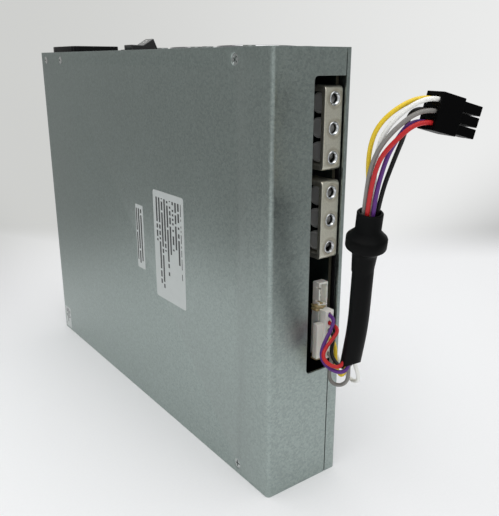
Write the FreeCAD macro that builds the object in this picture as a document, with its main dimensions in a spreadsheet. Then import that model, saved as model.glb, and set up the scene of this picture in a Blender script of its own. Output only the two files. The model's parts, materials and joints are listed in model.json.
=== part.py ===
import FreeCAD, Part
import math
import os
import re

import Sketcher
from FreeCAD import Placement, Rotation, Vector

# A slim mining rig power supply standing on its vent end, in millimetres.
# X runs through its thickness, from the labelled face to the cover. Y runs from the output side (-Y)
# to the back, Z from the vents at the bottom to the mains inlet at the top.

doc = FreeCAD.newDocument("power_supply")
sheet = doc.addObject("Spreadsheet::Sheet", "Sizes")

SIZES = {
    # sheet metal case
    "case_thickness": 44.0,
    "case_depth": 262.0,
    "case_height": 207.0,
    "plate": 1.0,
    "bend": 2.0,
    "seam": 0.5,
    "lip": 3.1,
    "low_lip": 7.1,
    "window_left": 22.5,
    "window_above": 11.5,
    "window_below": 4.9,
    "window_corner": 2.0,
    "inlet_recess": 2.0,
    "vent_recess": 1.0,
    "flange": 9.0,
    "panel_play": 0.4,
    "hex_flats": 9.5,
    "hex_web": 2.0,
    # case screws and rivets
    "screw_from_end": 5.0,
    "screw_setback": 26.0,
    "csk_head": 5.9,
    "csk_shank": 3.0,
    "csk_length": 2.6,
    "screw_play": 0.1,
    "recess_long": 3.2,
    "recess_wide": 0.7,
    "recess_deep": 0.7,
    "rivet_head": 4.6,
    "rivet_shank": 3.0,
    "rivet_setback": 10.0,
    "rivet_pitch": 26.7,
    # board and what holds it
    "board": 1.6,
    "board_stand": 2.6,
    "board_front": 4.5,
    "board_back": 7.0,
    "board_bottom": 9.0,
    "board_clear": 2.0,
    "standoff": 6.0,
    "board_screw": 3.0,
    "board_head": 5.5,
    "board_head_height": 1.8,
    "standoff_inset": 21.5,
    "standoff_edge": 6.0,
    "foil": 0.4,
    # output bars
    "bar_width": 10.3,
    "bar_height": 36.2,
    "bar_plate": 2.5,
    "bar_depth": 16.0,
    "bar_bend": 3.2,
    "bar_recess": 1.5,
    "bar_edge": 3.5,
    "bar_above": 4.1,
    "bar_gap": 4.7,
    "bar_play": 0.15,
    "hole_pitch": 12.7,
    "hole_across": 4.5,
    "nut_shank": 6.0,
    "nut_bore": 4.2,
    "nut_play": 0.03,
    "can_diameter": 10.0,
    "can_length": 12.3,
    "can_pitch": 10.3,
    "can_setback": 9.0,
    "can_groove": 0.5,
    # signal headers and plug
    "header_gap": 10.7,
    "spare_gap": 0.4,
    "spare_wide": 13.6,
    "spare_tall": 7.8,
    "spare_long": 8.0,
    "header_wall": 1.1,
    "header_floor": 2.0,
    "spare_pitch": 2.5,
    "pin": 0.64,
    "pin_reach": 3.5,
    "socket_wide": 25.2,
    "socket_tall": 8.2,
    "socket_long": 9.5,
    "plug_play": 0.1,
    "plug_proud": 3.0,
    "plug_rib": 2.2,
    "wire_pitch": 3.96,
    "wire_seat": 2.5,
    "wire_hole": 2.6,
    "wire_diameter": 1.8,
    # rubber sleeve on the harness
    "sleeve_outside": 9.0,
    "sleeve_bore": 6.6,
    "neck_outside": 10.6,
    "neck_length": 8.0,
    "collar_outside": 16.9,
    "collar_slope": 3.2,
    "collar_side": 3.4,
    "collar_taper": 5.4,
    "sleeve_slant": 14.0,
    "sleeve_trim": 1.0,
    "sleeve_gap": 0.15,
    # six way signal plug
    "contact_pitch": 4.2,
    "silo": 3.6,
    "silo_length": 9.2,
    "silo_bore": 2.4,
    "plug_block": 10.4,
    "plug_skin": 0.6,
    "latch_wide": 5.0,
    "latch_thick": 1.4,
    # mains inlet
    "inlet_setback": 27.0,
    "inlet_wide": 32.0,
    "inlet_long": 36.0,
    "inlet_flange": 5.6,
    "inlet_corner": 3.0,
    "inlet_box_wide": 25.0,
    "inlet_box_long": 31.0,
    "inlet_deep": 22.0,
    "cavity_wide": 20.0,
    "cavity_long": 27.6,
    "cavity_corner": 4.0,
    "cavity_deep": 21.0,
    "cutout_play": 0.2,
    "blade_wide": 8.0,
    "blade_thick": 2.0,
    "blade_span": 13.0,
    "blade_offset": 3.5,
    "blade_recess": 3.6,
    "blade_tail": 9.0,
    # rocker switch
    "switch_setback": 110.5,
    "bezel_long": 21.0,
    "bezel_wide": 15.0,
    "bezel_high": 2.5,
    "switch_long": 19.0,
    "switch_wide": 12.8,
    "switch_deep": 15.0,
    "well_long": 18.0,
    "well_wide": 10.6,
    "well_deep": 7.5,
    "rocker_wide": 9.8,
    "rocker_reach": 8.6,
    "rocker_crown": 2.7,
    "rocker_rise": 14.0,
    "rocker_taper": 10.0,
    "rocker_keel": 4.2,
    "pivot_height": 1.0,
    "pivot": 2.4,
    "pivot_reach": 0.9,
    "pivot_play": 0.05,
    "tab_wide": 4.8,
    "tab_thick": 0.8,
    "tab_length": 9.0,
    "tab_span": 9.0,
    # the two fans
    "fan_room": 1.0,
    "fan_deep": 28.0,
    "fan_lead": 2.5,
    "fan_gap": 4.0,
    "fan_rim": 4.0,
    "fan_corner": 3.0,
    "fan_wall": 1.3,
    "fan_hole_edge": 3.0,
    "fan_hole": 3.3,
    "fan_base": 2.2,
    "fan_strut": 3.0,
    "hub": 18.0,
    "hub_skin": 1.0,
    "hub_gap": 0.9,
    "hub_top": 3.0,
    "blades": 7,
    "tip_gap": 1.0,
    "blade_skin": 1.0,
    "blade_chord_root": 12.5,
    "blade_chord_tip": 14.5,
    "blade_pitch_root": 52.0,
    "blade_pitch_tip": 36.0,
    "shaft": 3.0,
    "bearing": 4.8,
    "bearing_length": 12.0,
    "bearing_tube": 6.8,
    "shaft_play": 0.05,
    "stator": 14.6,
    "stator_length": 11.0,
    "guard_wire": 1.5,
    "guard_inset": 0.2,
    "guard_inner": 20.0,
    "guard_lift": 0.15,
    "guard_weld": 0.25,
    "eyelet": 6.2,
    "eyelet_thick": 1.1,
    "fan_screw": 3.2,
    "fan_screw_head": 5.4,
    "fan_screw_head_height": 1.6,
    "fan_screw_length": 9.0,
    # inside
    "gap": 3.0,
    "part_floor": 24.0,
    "sink_base": 3.0,
    "sink_fin": 1.6,
    "sink_deep": 11.0,
    "sink_fins": 5,
    "sink_tall": 30.0,
    "core": 34.0,
    "core_tall": 28.0,
    "core_leg": 8.0,
    "winding": 24.0,
    "transistor_wide": 16.0,
    "transistor_long": 20.0,
    "transistor_thick": 4.6,
    "transistor_pitch": 40.0,
    "card_wide": 20.0,
    "card_long": 80.0,
    "can_big": 30.0,
    "can_big_tall": 31.0,
    "can_big_groove": 1.2,
    "choke_outside": 36.0,
    "choke_inside": 15.0,
    "choke_tall": 16.0,
    "choke_turn": 2.6,
    "choke_turns": 12,
    "filter_outside": 29.0,
    "film_long": 26.0,
    "film_thick": 10.0,
    "film_tall": 19.0,
    "bridge_long": 30.0,
    "bridge_thick": 5.0,
    "bridge_tall": 22.0,
    "fuse_diameter": 6.4,
    "fuse_length": 24.0,
    "fuse_cap": 5.5,
    "fuse_cap_diameter": 7.0,
}

for row, (alias, value) in enumerate(SIZES.items(), start=1):
    sheet.set(f"A{row}", alias.replace("_", " "))
    sheet.set(f"B{row}", str(value))
    sheet.setAlias(f"B{row}", alias)
doc.recompute()


def linked(formula):
    """A formula in the sheet's words, as the objects of the document read it."""
    return re.sub(r"[a-z_]\w*", lambda m: f"Sizes.{m[0]}" if m[0] in SIZES else m[0], str(formula))


def worth(formula):
    """What a formula comes to now."""
    return float(sheet.evalExpression(str(formula)))


def put(piece, x="0", y="0", z="0"):
    """Ties the place of a piece to the sheet."""
    for axis, formula in zip("xyz", (x, y, z)):
        piece.setExpression(f"Placement.Base.{axis}", linked(formula))
    return piece


def block(x, y, z):
    """A box between pairs of formulas."""
    made = doc.addObject("Part::Box", "Block")
    for side, (low, high) in zip(("Length", "Width", "Height"), (x, y, z)):
        made.setExpression(side, linked(f"({high}) - ({low})"))
    return put(made, x[0], y[0], z[0])


def slab(x, y, z, long, wide, tall):
    """A box about the middle of its X and Y, standing on z."""
    return block(
        (f"{x} - ({long}) / 2", f"{x} + ({long}) / 2"),
        (f"{y} - ({wide}) / 2", f"{y} + ({wide}) / 2"),
        (z, f"{z} + {tall}"),
    )


TURNS = {"x": Rotation(Vector(0, 1, 0), 90), "y": Rotation(Vector(1, 0, 0), -90), "z": Rotation()}


def rod(axis, x, y, z, diameter, length):
    """A cylinder that starts at a point and runs along an axis."""
    made = doc.addObject("Part::Cylinder", "Rod")
    made.Placement = Placement(Vector(), TURNS[axis])
    made.setExpression("Radius", linked(f"({diameter}) / 2"))
    made.setExpression("Height", linked(length))
    return put(made, x, y, z)


def cone(axis, x, y, z, start, end, length):
    """A cone between two diameters."""
    made = doc.addObject("Part::Cone", "Cone")
    made.Placement = Placement(Vector(), TURNS[axis])
    made.setExpression("Radius1", linked(f"({start}) / 2"))
    made.setExpression("Radius2", linked(f"({end}) / 2"))
    made.setExpression("Height", linked(length))
    return put(made, x, y, z)


def ring(x, y, z, diameter, wire):
    """A ring of round wire, flat in XY."""
    made = doc.addObject("Part::Torus", "Ring")
    made.setExpression("Radius1", linked(f"({diameter}) / 2"))
    made.setExpression("Radius2", linked(f"({wire}) / 2"))
    return put(made, x, y, z)


def group(*pieces):
    """Separate solids kept as one."""
    made = doc.addObject("Part::Compound", "Group")
    made.Links = list(pieces)
    return made


def fuse(*pieces):
    """Solids melted into one."""
    made = doc.addObject("Part::MultiFuse", "Fuse")
    made.Shapes = list(pieces)
    made.Refine = True
    return made


def cut(base, *tools):
    """A solid with others taken out of it."""
    made = doc.addObject("Part::Cut", "Cut")
    made.Base = base
    made.Tool = tools[0] if len(tools) == 1 else group(*tools)
    return made


# How a sketch lies on each plane: its turn, the axis that it faces, and that axis's letter.
PLANES = {
    "xy": (Rotation(), Vector(0, 0, 1), "z"),
    "xz": (Rotation(Vector(1, 0, 0), 90), Vector(0, 1, 0), "y"),
    "yz": (Rotation(Vector(1, 1, 1), 120), Vector(1, 0, 0), "x"),
}


def corner_arc(before, here, after, radius):
    """The arc that rounds a corner."""
    back = (before - here).normalize()
    on = (after - here).normalize()
    half = back.getAngle(on) / 2
    middle = here + (back + on).normalize() * (radius / math.sin(half))
    reach = radius / math.tan(half)
    crown = middle + (here - middle).normalize() * radius
    return Part.Arc(here + back * reach, crown, here + on * reach)


def draw(sketch, corners):
    """Draws a closed outline. A corner is two formulas and, where it is rounded, its radius."""
    spots = [Vector(worth(c[0]), worth(c[1]), 0) for c in corners]
    count = len(spots)
    arcs = {}
    for i, corner in enumerate(corners):
        if len(corner) == 3:
            arcs[i] = corner_arc(spots[i - 1], spots[i], spots[(i + 1) % count], worth(corner[2]))
    starts = [arcs[i].EndPoint if i in arcs else spots[i] for i in range(count)]
    ends = [arcs[i].StartPoint if i in arcs else spots[i] for i in range(count)]
    lines = []
    for i in range(count):
        lines.append(sketch.addGeometry(Part.LineSegment(starts[i], ends[(i + 1) % count])))

    def tie(kind, value, formula, *where):
        number = sketch.addConstraint(Sketcher.Constraint(kind, *where, value))
        sketch.setExpression(f"Constraints[{number}]", linked(formula))

    for i, corner in enumerate(corners):
        into = lines[i - 1]
        out = lines[i]
        if i in arcs:
            arc = sketch.addGeometry(arcs[i])
            first = 1 if sketch.getPoint(arc, 1).distanceToPoint(ends[i]) < 1e-6 else 2
            sketch.addConstraint(Sketcher.Constraint("Tangent", into, 2, arc, first))
            sketch.addConstraint(Sketcher.Constraint("Tangent", arc, 3 - first, out, 1))
            tie("Radius", worth(corner[2]), corner[2], arc)
            spot = sketch.addGeometry(Part.Point(spots[i]), True)
            sketch.addConstraint(Sketcher.Constraint("PointOnObject", spot, 1, into))
            sketch.addConstraint(Sketcher.Constraint("PointOnObject", spot, 1, out))
            place = (spot, 1)
        else:
            sketch.addConstraint(Sketcher.Constraint("Coincident", into, 2, out, 1))
            place = (out, 1)
        tie("DistanceX", spots[i].x, corner[0], -1, 1, *place)
        tie("DistanceY", spots[i].y, corner[1], -1, 1, *place)


def prism(plane, corners, low, high):
    """An outline drawn out from low to high along the axis that its plane faces."""
    turn, way, letter = PLANES[plane]
    sketch = doc.addObject("Sketcher::SketchObject", "Outline")
    sketch.Placement = Placement(Vector(), turn)
    sketch.setExpression(f"Placement.Base.{letter}", linked(low))
    draw(sketch, corners)
    made = doc.addObject("Part::Extrusion", "Prism")
    made.Base = sketch
    made.DirMode = "Custom"
    made.Dir = way
    made.Solid = True
    made.setExpression("LengthFwd", linked(f"({high}) - ({low})"))
    return made


def turned(corners):
    """An outline of radius and height, turned about Z."""
    sketch = doc.addObject("Sketcher::SketchObject", "Section")
    sketch.Placement = Placement(Vector(), PLANES["xz"][0])
    draw(sketch, corners)
    made = doc.addObject("Part::Revolution", "Turned")
    made.Source = sketch
    made.Axis = Vector(0, 0, 1)
    made.Angle = 360
    made.Solid = True
    return made


def rounded(x, y, long, wide, radius):
    """The corners of a rounded rectangle about a middle."""
    sides = ((-1, -1), (1, -1), (1, 1), (-1, 1))
    return [(f"{x} + {a} * ({long}) / 2", f"{y} + {b} * ({wide}) / 2", radius) for a, b in sides]


NODES = {}


def node(name, piece):
    """Names a finished piece."""
    piece.Label = name
    NODES[name] = piece
    return piece


def body_sketch(body, plane, corners):
    """A sketch on one of a body's own origin planes."""
    sketch = body.newObject("Sketcher::SketchObject", "Profile")
    base = next(f for f in body.Origin.OriginFeatures if f.Role == f"{plane.upper()}_Plane")
    sketch.AttachmentSupport = (base, [""])
    sketch.MapMode = "FlatFace"
    draw(sketch, corners)
    return sketch


def pad(body, sketch, length):
    made = body.newObject("PartDesign::Pad", "Pad")
    made.Profile = sketch
    made.setExpression("Length", linked(length))
    doc.recompute()
    return made


def pocket(body, sketch, reach):
    """Cuts from the sketch to the front, and makes sure that something went."""
    before = body.Shape.Volume
    made = body.newObject("PartDesign::Pocket", "Pocket")
    made.Profile = sketch
    made.Reversed = True
    made.setExpression("Length", linked(reach))
    doc.recompute()
    if body.Shape.Volume > before - 1e-3:
        raise ValueError(f"a pocket in {body.Label} cuts nothing")
    return made


# Places that several pieces share.
NEAR = "-case_thickness / 2"
FAR = "case_thickness / 2"
FRONT = "-case_depth / 2"
BACK = "case_depth / 2"
NEAR_IN = f"({NEAR} + plate)"
FAR_IN = f"({FAR} - plate)"
FRONT_IN = f"({FRONT} + plate)"
BACK_IN = f"({BACK} - plate)"
WALL_EDGE = f"({FAR} - lip - seam)"
LOW_WALL_EDGE = f"({FAR} - low_lip - seam)"
PANEL_TOP = "(case_height - inlet_recess)"
PANEL_UNDER = f"({PANEL_TOP} - plate)"
BOARD_BACK = f"({FAR_IN} - board_stand)"
BOARD_FACE = f"({BOARD_BACK} - board)"
BOARD_FRONT = f"({FRONT} + board_front)"
BAR_FACE = f"({FRONT} + bar_recess)"
BAR_INSIDE = f"({BAR_FACE} + bar_plate)"
BAR_END = f"({BAR_FACE} + bar_depth)"
BAR_RIGHT = f"({BOARD_BACK} + bar_play / 2)"
BAR_LEFT = f"({BAR_RIGHT} - bar_width)"
HOLE_X = f"({BAR_RIGHT} - hole_across)"
WINDOW_TOP = "(case_height - window_above)"
BAR_UPPER = f"({WINDOW_TOP} - bar_above - bar_height / 2)"
BAR_LOWER = f"({BAR_UPPER} - bar_height - bar_gap)"
SPARE_HIGH = f"({BAR_LOWER} - bar_height / 2 - header_gap)"
SPARE_LOW = f"({SPARE_HIGH} - spare_wide)"
SOCKET_HIGH = f"({SPARE_LOW} - spare_gap)"
SOCKET_LOW = f"({SOCKET_HIGH} - socket_wide)"
WINDOW_BOTTOM = f"({SOCKET_LOW} - window_below)"
BOARD_TOP = f"({PANEL_UNDER} - fan_deep - board_clear)"
INLET_Y = f"({BACK} - inlet_setback)"
SWITCH_Y = f"({BACK} - switch_setback)"
SCREW_Z = ("screw_from_end", "case_height - screw_from_end")
SCREW_Y = f"{FRONT} + screw_setback"
RIVET_Y = (f"{BACK} - rivet_setback", f"{BACK} - rivet_setback - rivet_pitch")
RIVET_Z = "case_height - screw_from_end"
FAN_SIZE = "(case_thickness - 4 * plate - 2 * fan_room)"
FAN_BORE = f"({FAN_SIZE} - 2 * fan_wall)"
FAN_HOLES = f"({FAN_SIZE} - 2 * fan_hole_edge)"
BLADE_TIP = f"({FAN_BORE} - 2 * tip_gap)"
FAN_FIRST = f"({BAR_END} + fan_lead + {FAN_SIZE} / 2)"
FANS = {1: FAN_FIRST, 2: f"({FAN_FIRST} + {FAN_SIZE} + fan_gap)"}


def screw_places():
    """Where the countersunk screws sit: the face's sign, Y and Z."""
    places = [(-1, SCREW_Y, z) for z in SCREW_Z]
    for z in SCREW_Z:
        places += [(1, f"{side} * ({SCREW_Y})", z) for side in (1, -1)]
    return places


def from_face(sign, depth):
    """An X that lies a depth below the labelled face (-1) or the cover (1)."""
    return f"{sign} * (case_thickness / 2 - ({depth}))"


def along(sign, x_start, x_end):
    """The lower end and the length of a span in X, whichever way it runs."""
    return (x_start if sign < 0 else x_end), f"abs(({x_end}) - ({x_start}))"


def countersink(sign, y, z, head, shank):
    """The hole for a flush head through a plate of the case."""
    top = from_face(sign, "0")
    bottom = from_face(sign, "plate")
    start, length = along(sign, top, bottom)
    wide = f"{head} + screw_play"
    narrow = f"({head} + {shank}) / 2 + screw_play"
    ends = (wide, narrow) if sign < 0 else (narrow, wide)
    return cone("x", start, y, z, *ends, length)


def cross_recess(sign, y, z):
    """The two slots of a screwdriver's cross."""
    start, deep = along(sign, from_face(sign, "0"), from_face(sign, "recess_deep"))
    slots = []
    for wide, tall in (("recess_long", "recess_wide"), ("recess_wide", "recess_long")):
        across = (f"{y} - {wide} / 2", f"{y} + {wide} / 2")
        slots.append(block((start, f"{start} + {deep}"), across, (f"{z} - {tall} / 2", f"{z} + {tall} / 2")))
    return slots


def flush_fastener(sign, y, z, head, shank, length):
    """A countersunk head with its shank."""
    top = from_face(sign, "0")
    under = from_face(sign, "plate")
    tip = from_face(sign, length)
    start, tall = along(sign, top, under)
    narrow = f"({head} + {shank}) / 2"
    ends = (head, narrow) if sign < 0 else (narrow, head)
    crown = cone("x", start, y, z, *ends, tall)
    start, tall = along(sign, under, tip)
    return fuse(crown, rod("x", start, y, z, shank, tall))


# Main case: the labelled face with the front and back walls folded from one plate.
case = doc.addObject("PartDesign::Body", "MainCase")
inner_bend = "bend - plate"
case_outline = [
    (WALL_EDGE, FRONT),
    (WALL_EDGE, FRONT_IN),
    (NEAR_IN, FRONT_IN, inner_bend),
    (NEAR_IN, BACK_IN, inner_bend),
    (WALL_EDGE, BACK_IN),
    (WALL_EDGE, BACK),
    (NEAR, BACK, "bend"),
    (NEAR, FRONT, "bend"),
]
pad(case, body_sketch(case, "xy", case_outline), "case_height")
window_edge = f"{NEAR} + window_left"
window = [
    (window_edge, WINDOW_BOTTOM, "window_corner"),
    (FAR, WINDOW_BOTTOM),
    (FAR, WINDOW_TOP),
    (window_edge, WINDOW_TOP, "window_corner"),
]
pocket(case, body_sketch(case, "xz", window), "case_depth")
low_edge = [
    (LOW_WALL_EDGE, "-plate"),
    (FAR, "-plate"),
    (FAR, f"{WINDOW_BOTTOM} + plate"),
    (LOW_WALL_EDGE, f"{WINDOW_BOTTOM} + plate"),
]
pocket(case, body_sketch(case, "xz", low_edge), "case_depth")
case_holes = [countersink(-1, y, z, "csk_head", "csk_shank") for s, y, z in screw_places() if s < 0]
case_holes += [countersink(-1, y, RIVET_Z, "rivet_head", "rivet_shank") for y in RIVET_Y]
node("main_case", cut(case, *case_holes))

# Case cover: the far face, with a narrow lip on both edges and a wider one below the window.
cover_outline = [
    (f"{FAR} - low_lip", FRONT),
    (FAR, FRONT, "bend"),
    (FAR, BACK, "bend"),
    (f"{FAR} - lip", BACK),
    (f"{FAR} - lip", BACK_IN),
    (FAR_IN, BACK_IN, inner_bend),
    (FAR_IN, FRONT_IN, inner_bend),
    (f"{FAR} - low_lip", FRONT_IN),
]
cover = prism("xy", cover_outline, "0", "case_height")
lip_trim = block(
    (f"{FAR} - low_lip - plate", f"{FAR} - lip"),
    (f"{FRONT} - plate", FRONT_IN),
    (WINDOW_BOTTOM, "case_height + plate"),
)
cover_holes = [countersink(1, y, z, "csk_head", "csk_shank") for s, y, z in screw_places() if s > 0]
node("case_cover", cut(cover, lip_trim, *cover_holes))


def folded_panel(outside, inside, rim):
    """An end panel: a plate across the case with a flange folded along each big face."""
    return prism(
        "xz",
        [
            (NEAR_IN, rim),
            (NEAR_IN, outside, "bend"),
            (FAR_IN, outside, "bend"),
            (FAR_IN, rim),
            (f"{FAR_IN} - plate", rim),
            (f"{FAR_IN} - plate", inside, inner_bend),
            (f"{NEAR_IN} + plate", inside, inner_bend),
            (f"{NEAR_IN} + plate", rim),
        ],
        f"{FRONT_IN} + panel_play",
        f"{BACK_IN} - panel_play",
    )


def flange_hole(sign, y, z, shank):
    """A hole through a flange, under a screw or rivet of the case."""
    start, length = along(sign, from_face(sign, "plate"), from_face(sign, "2 * plate"))
    return rod("x", start, y, z, f"{shank} + screw_play", length)


def fan_corners(y):
    """The four screw holes of a fan."""
    return [(f"{a} * {FAN_HOLES} / 2", f"{y} + {b} * {FAN_HOLES} / 2") for a in (-1, 1) for b in (-1, 1)]


# Inlet panel: the top end, with round fan openings and the inlet's and the switch's cut-outs.
inlet_panel = folded_panel(PANEL_TOP, PANEL_UNDER, f"{PANEL_TOP} - flange")
panel_cuts = [flange_hole(s, y, z, "csk_shank") for s, y, z in screw_places() if z == SCREW_Z[1]]
panel_cuts += [flange_hole(-1, y, RIVET_Z, "rivet_shank") for y in RIVET_Y]
for fan_y in FANS.values():
    panel_cuts.append(rod("z", "0", fan_y, PANEL_UNDER, FAN_BORE, "plate"))
    for hole_x, hole_y in fan_corners(fan_y):
        panel_cuts.append(rod("z", hole_x, hole_y, PANEL_UNDER, "fan_hole + screw_play", "plate"))
inlet_cutout = ("inlet_box_wide + cutout_play", "inlet_box_long + cutout_play")
panel_cuts.append(slab("0", INLET_Y, PANEL_UNDER, *inlet_cutout, "plate"))
switch_cutout = ("switch_long + cutout_play", "switch_wide + cutout_play")
panel_cuts.append(slab("0", SWITCH_Y, PANEL_UNDER, *switch_cutout, "plate"))
node("inlet_panel", cut(inlet_panel, *panel_cuts))

# Vent panel: the bottom end, a honeycomb of hexagonal holes in staggered rows.
vent_panel = folded_panel("vent_recess", "vent_recess + plate", "vent_recess + flange")
HEX_PITCH = "(hex_flats + hex_web)"
HEX_ROW = f"({HEX_PITCH} * sqrt(3) / 2)"
STAGGER = (-0.25, 0.25)
rows = int(worth(f"(case_thickness - 4 * plate - 2 * hex_flats / sqrt(3)) / {HEX_ROW}")) + 1
places = int(worth(f"(case_depth - 2 * plate - 2 * panel_play) / {HEX_PITCH}")) - 2
vent_holes = [flange_hole(s, y, z, "csk_shank") for s, y, z in screw_places() if z == SCREW_Z[0]]
for row in range(rows):
    across = row - (rows - 1) / 2
    for number in range(places):
        on = number - (places - 1) / 2 + STAGGER[row % 2]
        hexagon = doc.addObject("Part::Prism", "Hexagon")
        hexagon.Polygon = 6
        hexagon.setExpression("Circumradius", linked("hex_flats / sqrt(3)"))
        hexagon.setExpression("Height", linked("plate"))
        put(hexagon, f"{across} * {HEX_ROW}", f"{on} * {HEX_PITCH}", "vent_recess")
        vent_holes.append(hexagon)
node("vent_panel", cut(vent_panel, *vent_holes))

screws = []
for sign, y, z in screw_places():
    screw = flush_fastener(sign, y, z, "csk_head", "csk_shank", "csk_length")
    screws.append(cut(screw, *cross_recess(sign, y, z)))
node("case_screws", group(*screws))
rivets = [flush_fastener(-1, y, RIVET_Z, "rivet_head", "rivet_shank", "csk_length") for y in RIVET_Y]
node("panel_rivets", group(*rivets))

# Main board with its standoffs, screws and the insulating sheet behind it.
BOARD_END = f"({BACK} - board_back)"
TAB_END = f"({BAR_END} + bar_play)"
standoff_ys = (
    f"{BOARD_FRONT} + standoff_inset",
    f"({BOARD_FRONT} + {BOARD_END}) / 2",
    f"{BOARD_END} - standoff_edge",
)
standoff_zs = ("board_bottom + standoff_edge", f"{BOARD_TOP} - standoff_edge")
STANDOFFS = [(y, z) for y in standoff_ys for z in standoff_zs]
board_outline = [
    (BOARD_FRONT, "board_bottom"),
    (BOARD_END, "board_bottom"),
    (BOARD_END, BOARD_TOP),
    (TAB_END, BOARD_TOP),
    (TAB_END, WINDOW_TOP),
    (BOARD_FRONT, WINDOW_TOP),
]
board_blank = prism("yz", board_outline, BOARD_FACE, BOARD_BACK)
board_cuts = [rod("x", BOARD_FACE, y, z, "board_screw + screw_play", "board") for y, z in STANDOFFS]
for middle in (BAR_UPPER, BAR_LOWER):
    for side in (-1, 1):
        leg = f"{middle} + {side} * (bar_height - bar_plate) / 2"
        slot = (f"{leg} - bar_plate / 2 - bar_play", f"{leg} + bar_plate / 2 + bar_play")
        board_cuts.append(block((BOARD_FACE, BOARD_BACK), (f"{BOARD_FRONT} - plate", TAB_END), slot))
node("main_board", cut(board_blank, *board_cuts))
pillars = []
board_screws = []
for y, z in STANDOFFS:
    pillar = rod("x", BOARD_BACK, y, z, "standoff", "board_stand")
    pillars.append(cut(pillar, rod("x", BOARD_BACK, y, z, "board_screw + screw_play", "board_stand")))
    head = rod("x", f"{BOARD_FACE} - board_head_height", y, z, "board_head", "board_head_height")
    shank = rod("x", BOARD_FACE, y, z, "board_screw", "board + board_stand - screw_play")
    board_screws.append(fuse(head, shank))
node("board_standoffs", group(*pillars))
node("board_screws", group(*board_screws))
foil_blank = block(
    (f"{FAR_IN} - foil", FAR_IN),
    (BOARD_FRONT, BOARD_END),
    ("vent_recess + flange + gap / 2", BOARD_TOP),
)
foil_holes = [rod("x", f"{FAR_IN} - foil", y, z, "standoff + gap / 4", "foil") for y, z in STANDOFFS]
node("insulation_sheet", cut(foil_blank, *foil_holes))


def output_bar(middle):
    """A U of thick plate: the face with three threaded holes, and two legs bent back to the board."""
    top = f"{middle} + bar_height / 2"
    low = f"{middle} - bar_height / 2"
    inner = "bar_bend - bar_plate"
    body = doc.addObject("PartDesign::Body", "OutputBar")
    profile = [
        (BAR_END, top),
        (BAR_FACE, top, "bar_bend"),
        (BAR_FACE, low, "bar_bend"),
        (BAR_END, low),
        (BAR_END, f"{low} + bar_plate"),
        (BAR_INSIDE, f"{low} + bar_plate", inner),
        (BAR_INSIDE, f"{top} - bar_plate", inner),
        (BAR_END, f"{top} - bar_plate"),
    ]
    sketch = body_sketch(body, "yz", profile)
    sketch.setExpression("AttachmentOffset.Base.z", linked(BAR_LEFT))
    pad(body, sketch, "bar_width")
    hole = "nut_shank + 2 * nut_play"
    return cut(body, *[rod("y", HOLE_X, BAR_FACE, z, hole, "bar_plate") for z in bar_holes(middle)])


def bar_holes(middle):
    return [f"{middle} + {step} * hole_pitch" for step in (1, 0, -1)]


def press_nut(z):
    """A round threaded insert pressed flush into the bar."""
    shank = rod("y", HOLE_X, BAR_FACE, z, "nut_shank", "bar_plate")
    return cut(shank, rod("y", HOLE_X, BAR_FACE, z, "nut_bore", "bar_plate"))


def can(y, z, diameter, length, groove):
    """A can capacitor lying on the board: rolled shoulder, seal groove near its foot, scored end."""
    half = f"({diameter}) / 2"
    section = [
        ("0", "0"),
        (half, "0", groove),
        (half, f"2 * {groove}"),
        (f"{half} - {groove} / 2", f"2.5 * {groove}"),
        (half, f"3 * {groove}"),
        (half, length, groove),
        (f"{half} - 2 * {groove}", length),
        (f"{half} - 2 * {groove}", f"{length} - {groove} / 3"),
        ("0", f"{length} - {groove} / 3"),
    ]
    made = turned(section)
    made.Placement = Placement(Vector(), Rotation(Vector(0, 1, 0), -90))
    return put(made, BOARD_FACE, y, z)


nuts = []
cans = []
for name, middle in (("busbar_upper", BAR_UPPER), ("busbar_lower", BAR_LOWER)):
    node(name, output_bar(middle))
    nuts += [press_nut(z) for z in bar_holes(middle)]
    for step in (1, 0, -1):
        can_z = f"{middle} + {step} * can_pitch"
        cans.append(can(f"{BAR_FACE} + can_setback", can_z, "can_diameter", "can_length", "can_groove"))
node("terminal_nuts", group(*nuts))
node("output_capacitors", group(*cans))

# Spare header: an empty side-entry socket on the board, open towards the window.
SPARE_X = (f"{BOARD_FACE} - spare_tall", BOARD_FACE)
SPARE_Y = (BOARD_FRONT, f"{BOARD_FRONT} + spare_long")
spare_shell = block(SPARE_X, SPARE_Y, (SPARE_LOW, SPARE_HIGH))
spare_well = block(
    (f"{SPARE_X[0]} + header_wall", f"{SPARE_X[1]} - header_wall"),
    (SPARE_Y[0], f"{SPARE_Y[1]} - header_floor"),
    (f"{SPARE_LOW} + header_wall", f"{SPARE_HIGH} - header_wall"),
)
spare_middle = f"({SPARE_LOW} + spare_wide / 2)"
spare_keys = []
for side in (-1, 1):
    key_z = f"{spare_middle} + {side} * 1.5 * spare_pitch"
    key = (f"{key_z} - header_wall / 2", f"{key_z} + header_wall / 2")
    key_x = (SPARE_X[0], f"{SPARE_X[0]} + header_wall")
    spare_keys.append(block(key_x, (SPARE_Y[0], f"{SPARE_Y[1]} - 2 * header_floor"), key))
node("spare_header", cut(spare_shell, spare_well, *spare_keys))
pin_x = f"({SPARE_X[0]} + {SPARE_X[1]}) / 2"
pins = []
for step in range(-2, 3):
    pin_z = f"{spare_middle} + {step} * spare_pitch"
    pins.append(
        block(
            (f"{pin_x} - pin / 2", f"{pin_x} + pin / 2"),
            (f"{SPARE_Y[1]} - header_floor - pin_reach", f"{SPARE_Y[1]} - header_floor"),
            (f"{pin_z} - pin / 2", f"{pin_z} + pin / 2"),
        )
    )
node("spare_header_pins", group(*pins))

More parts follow.
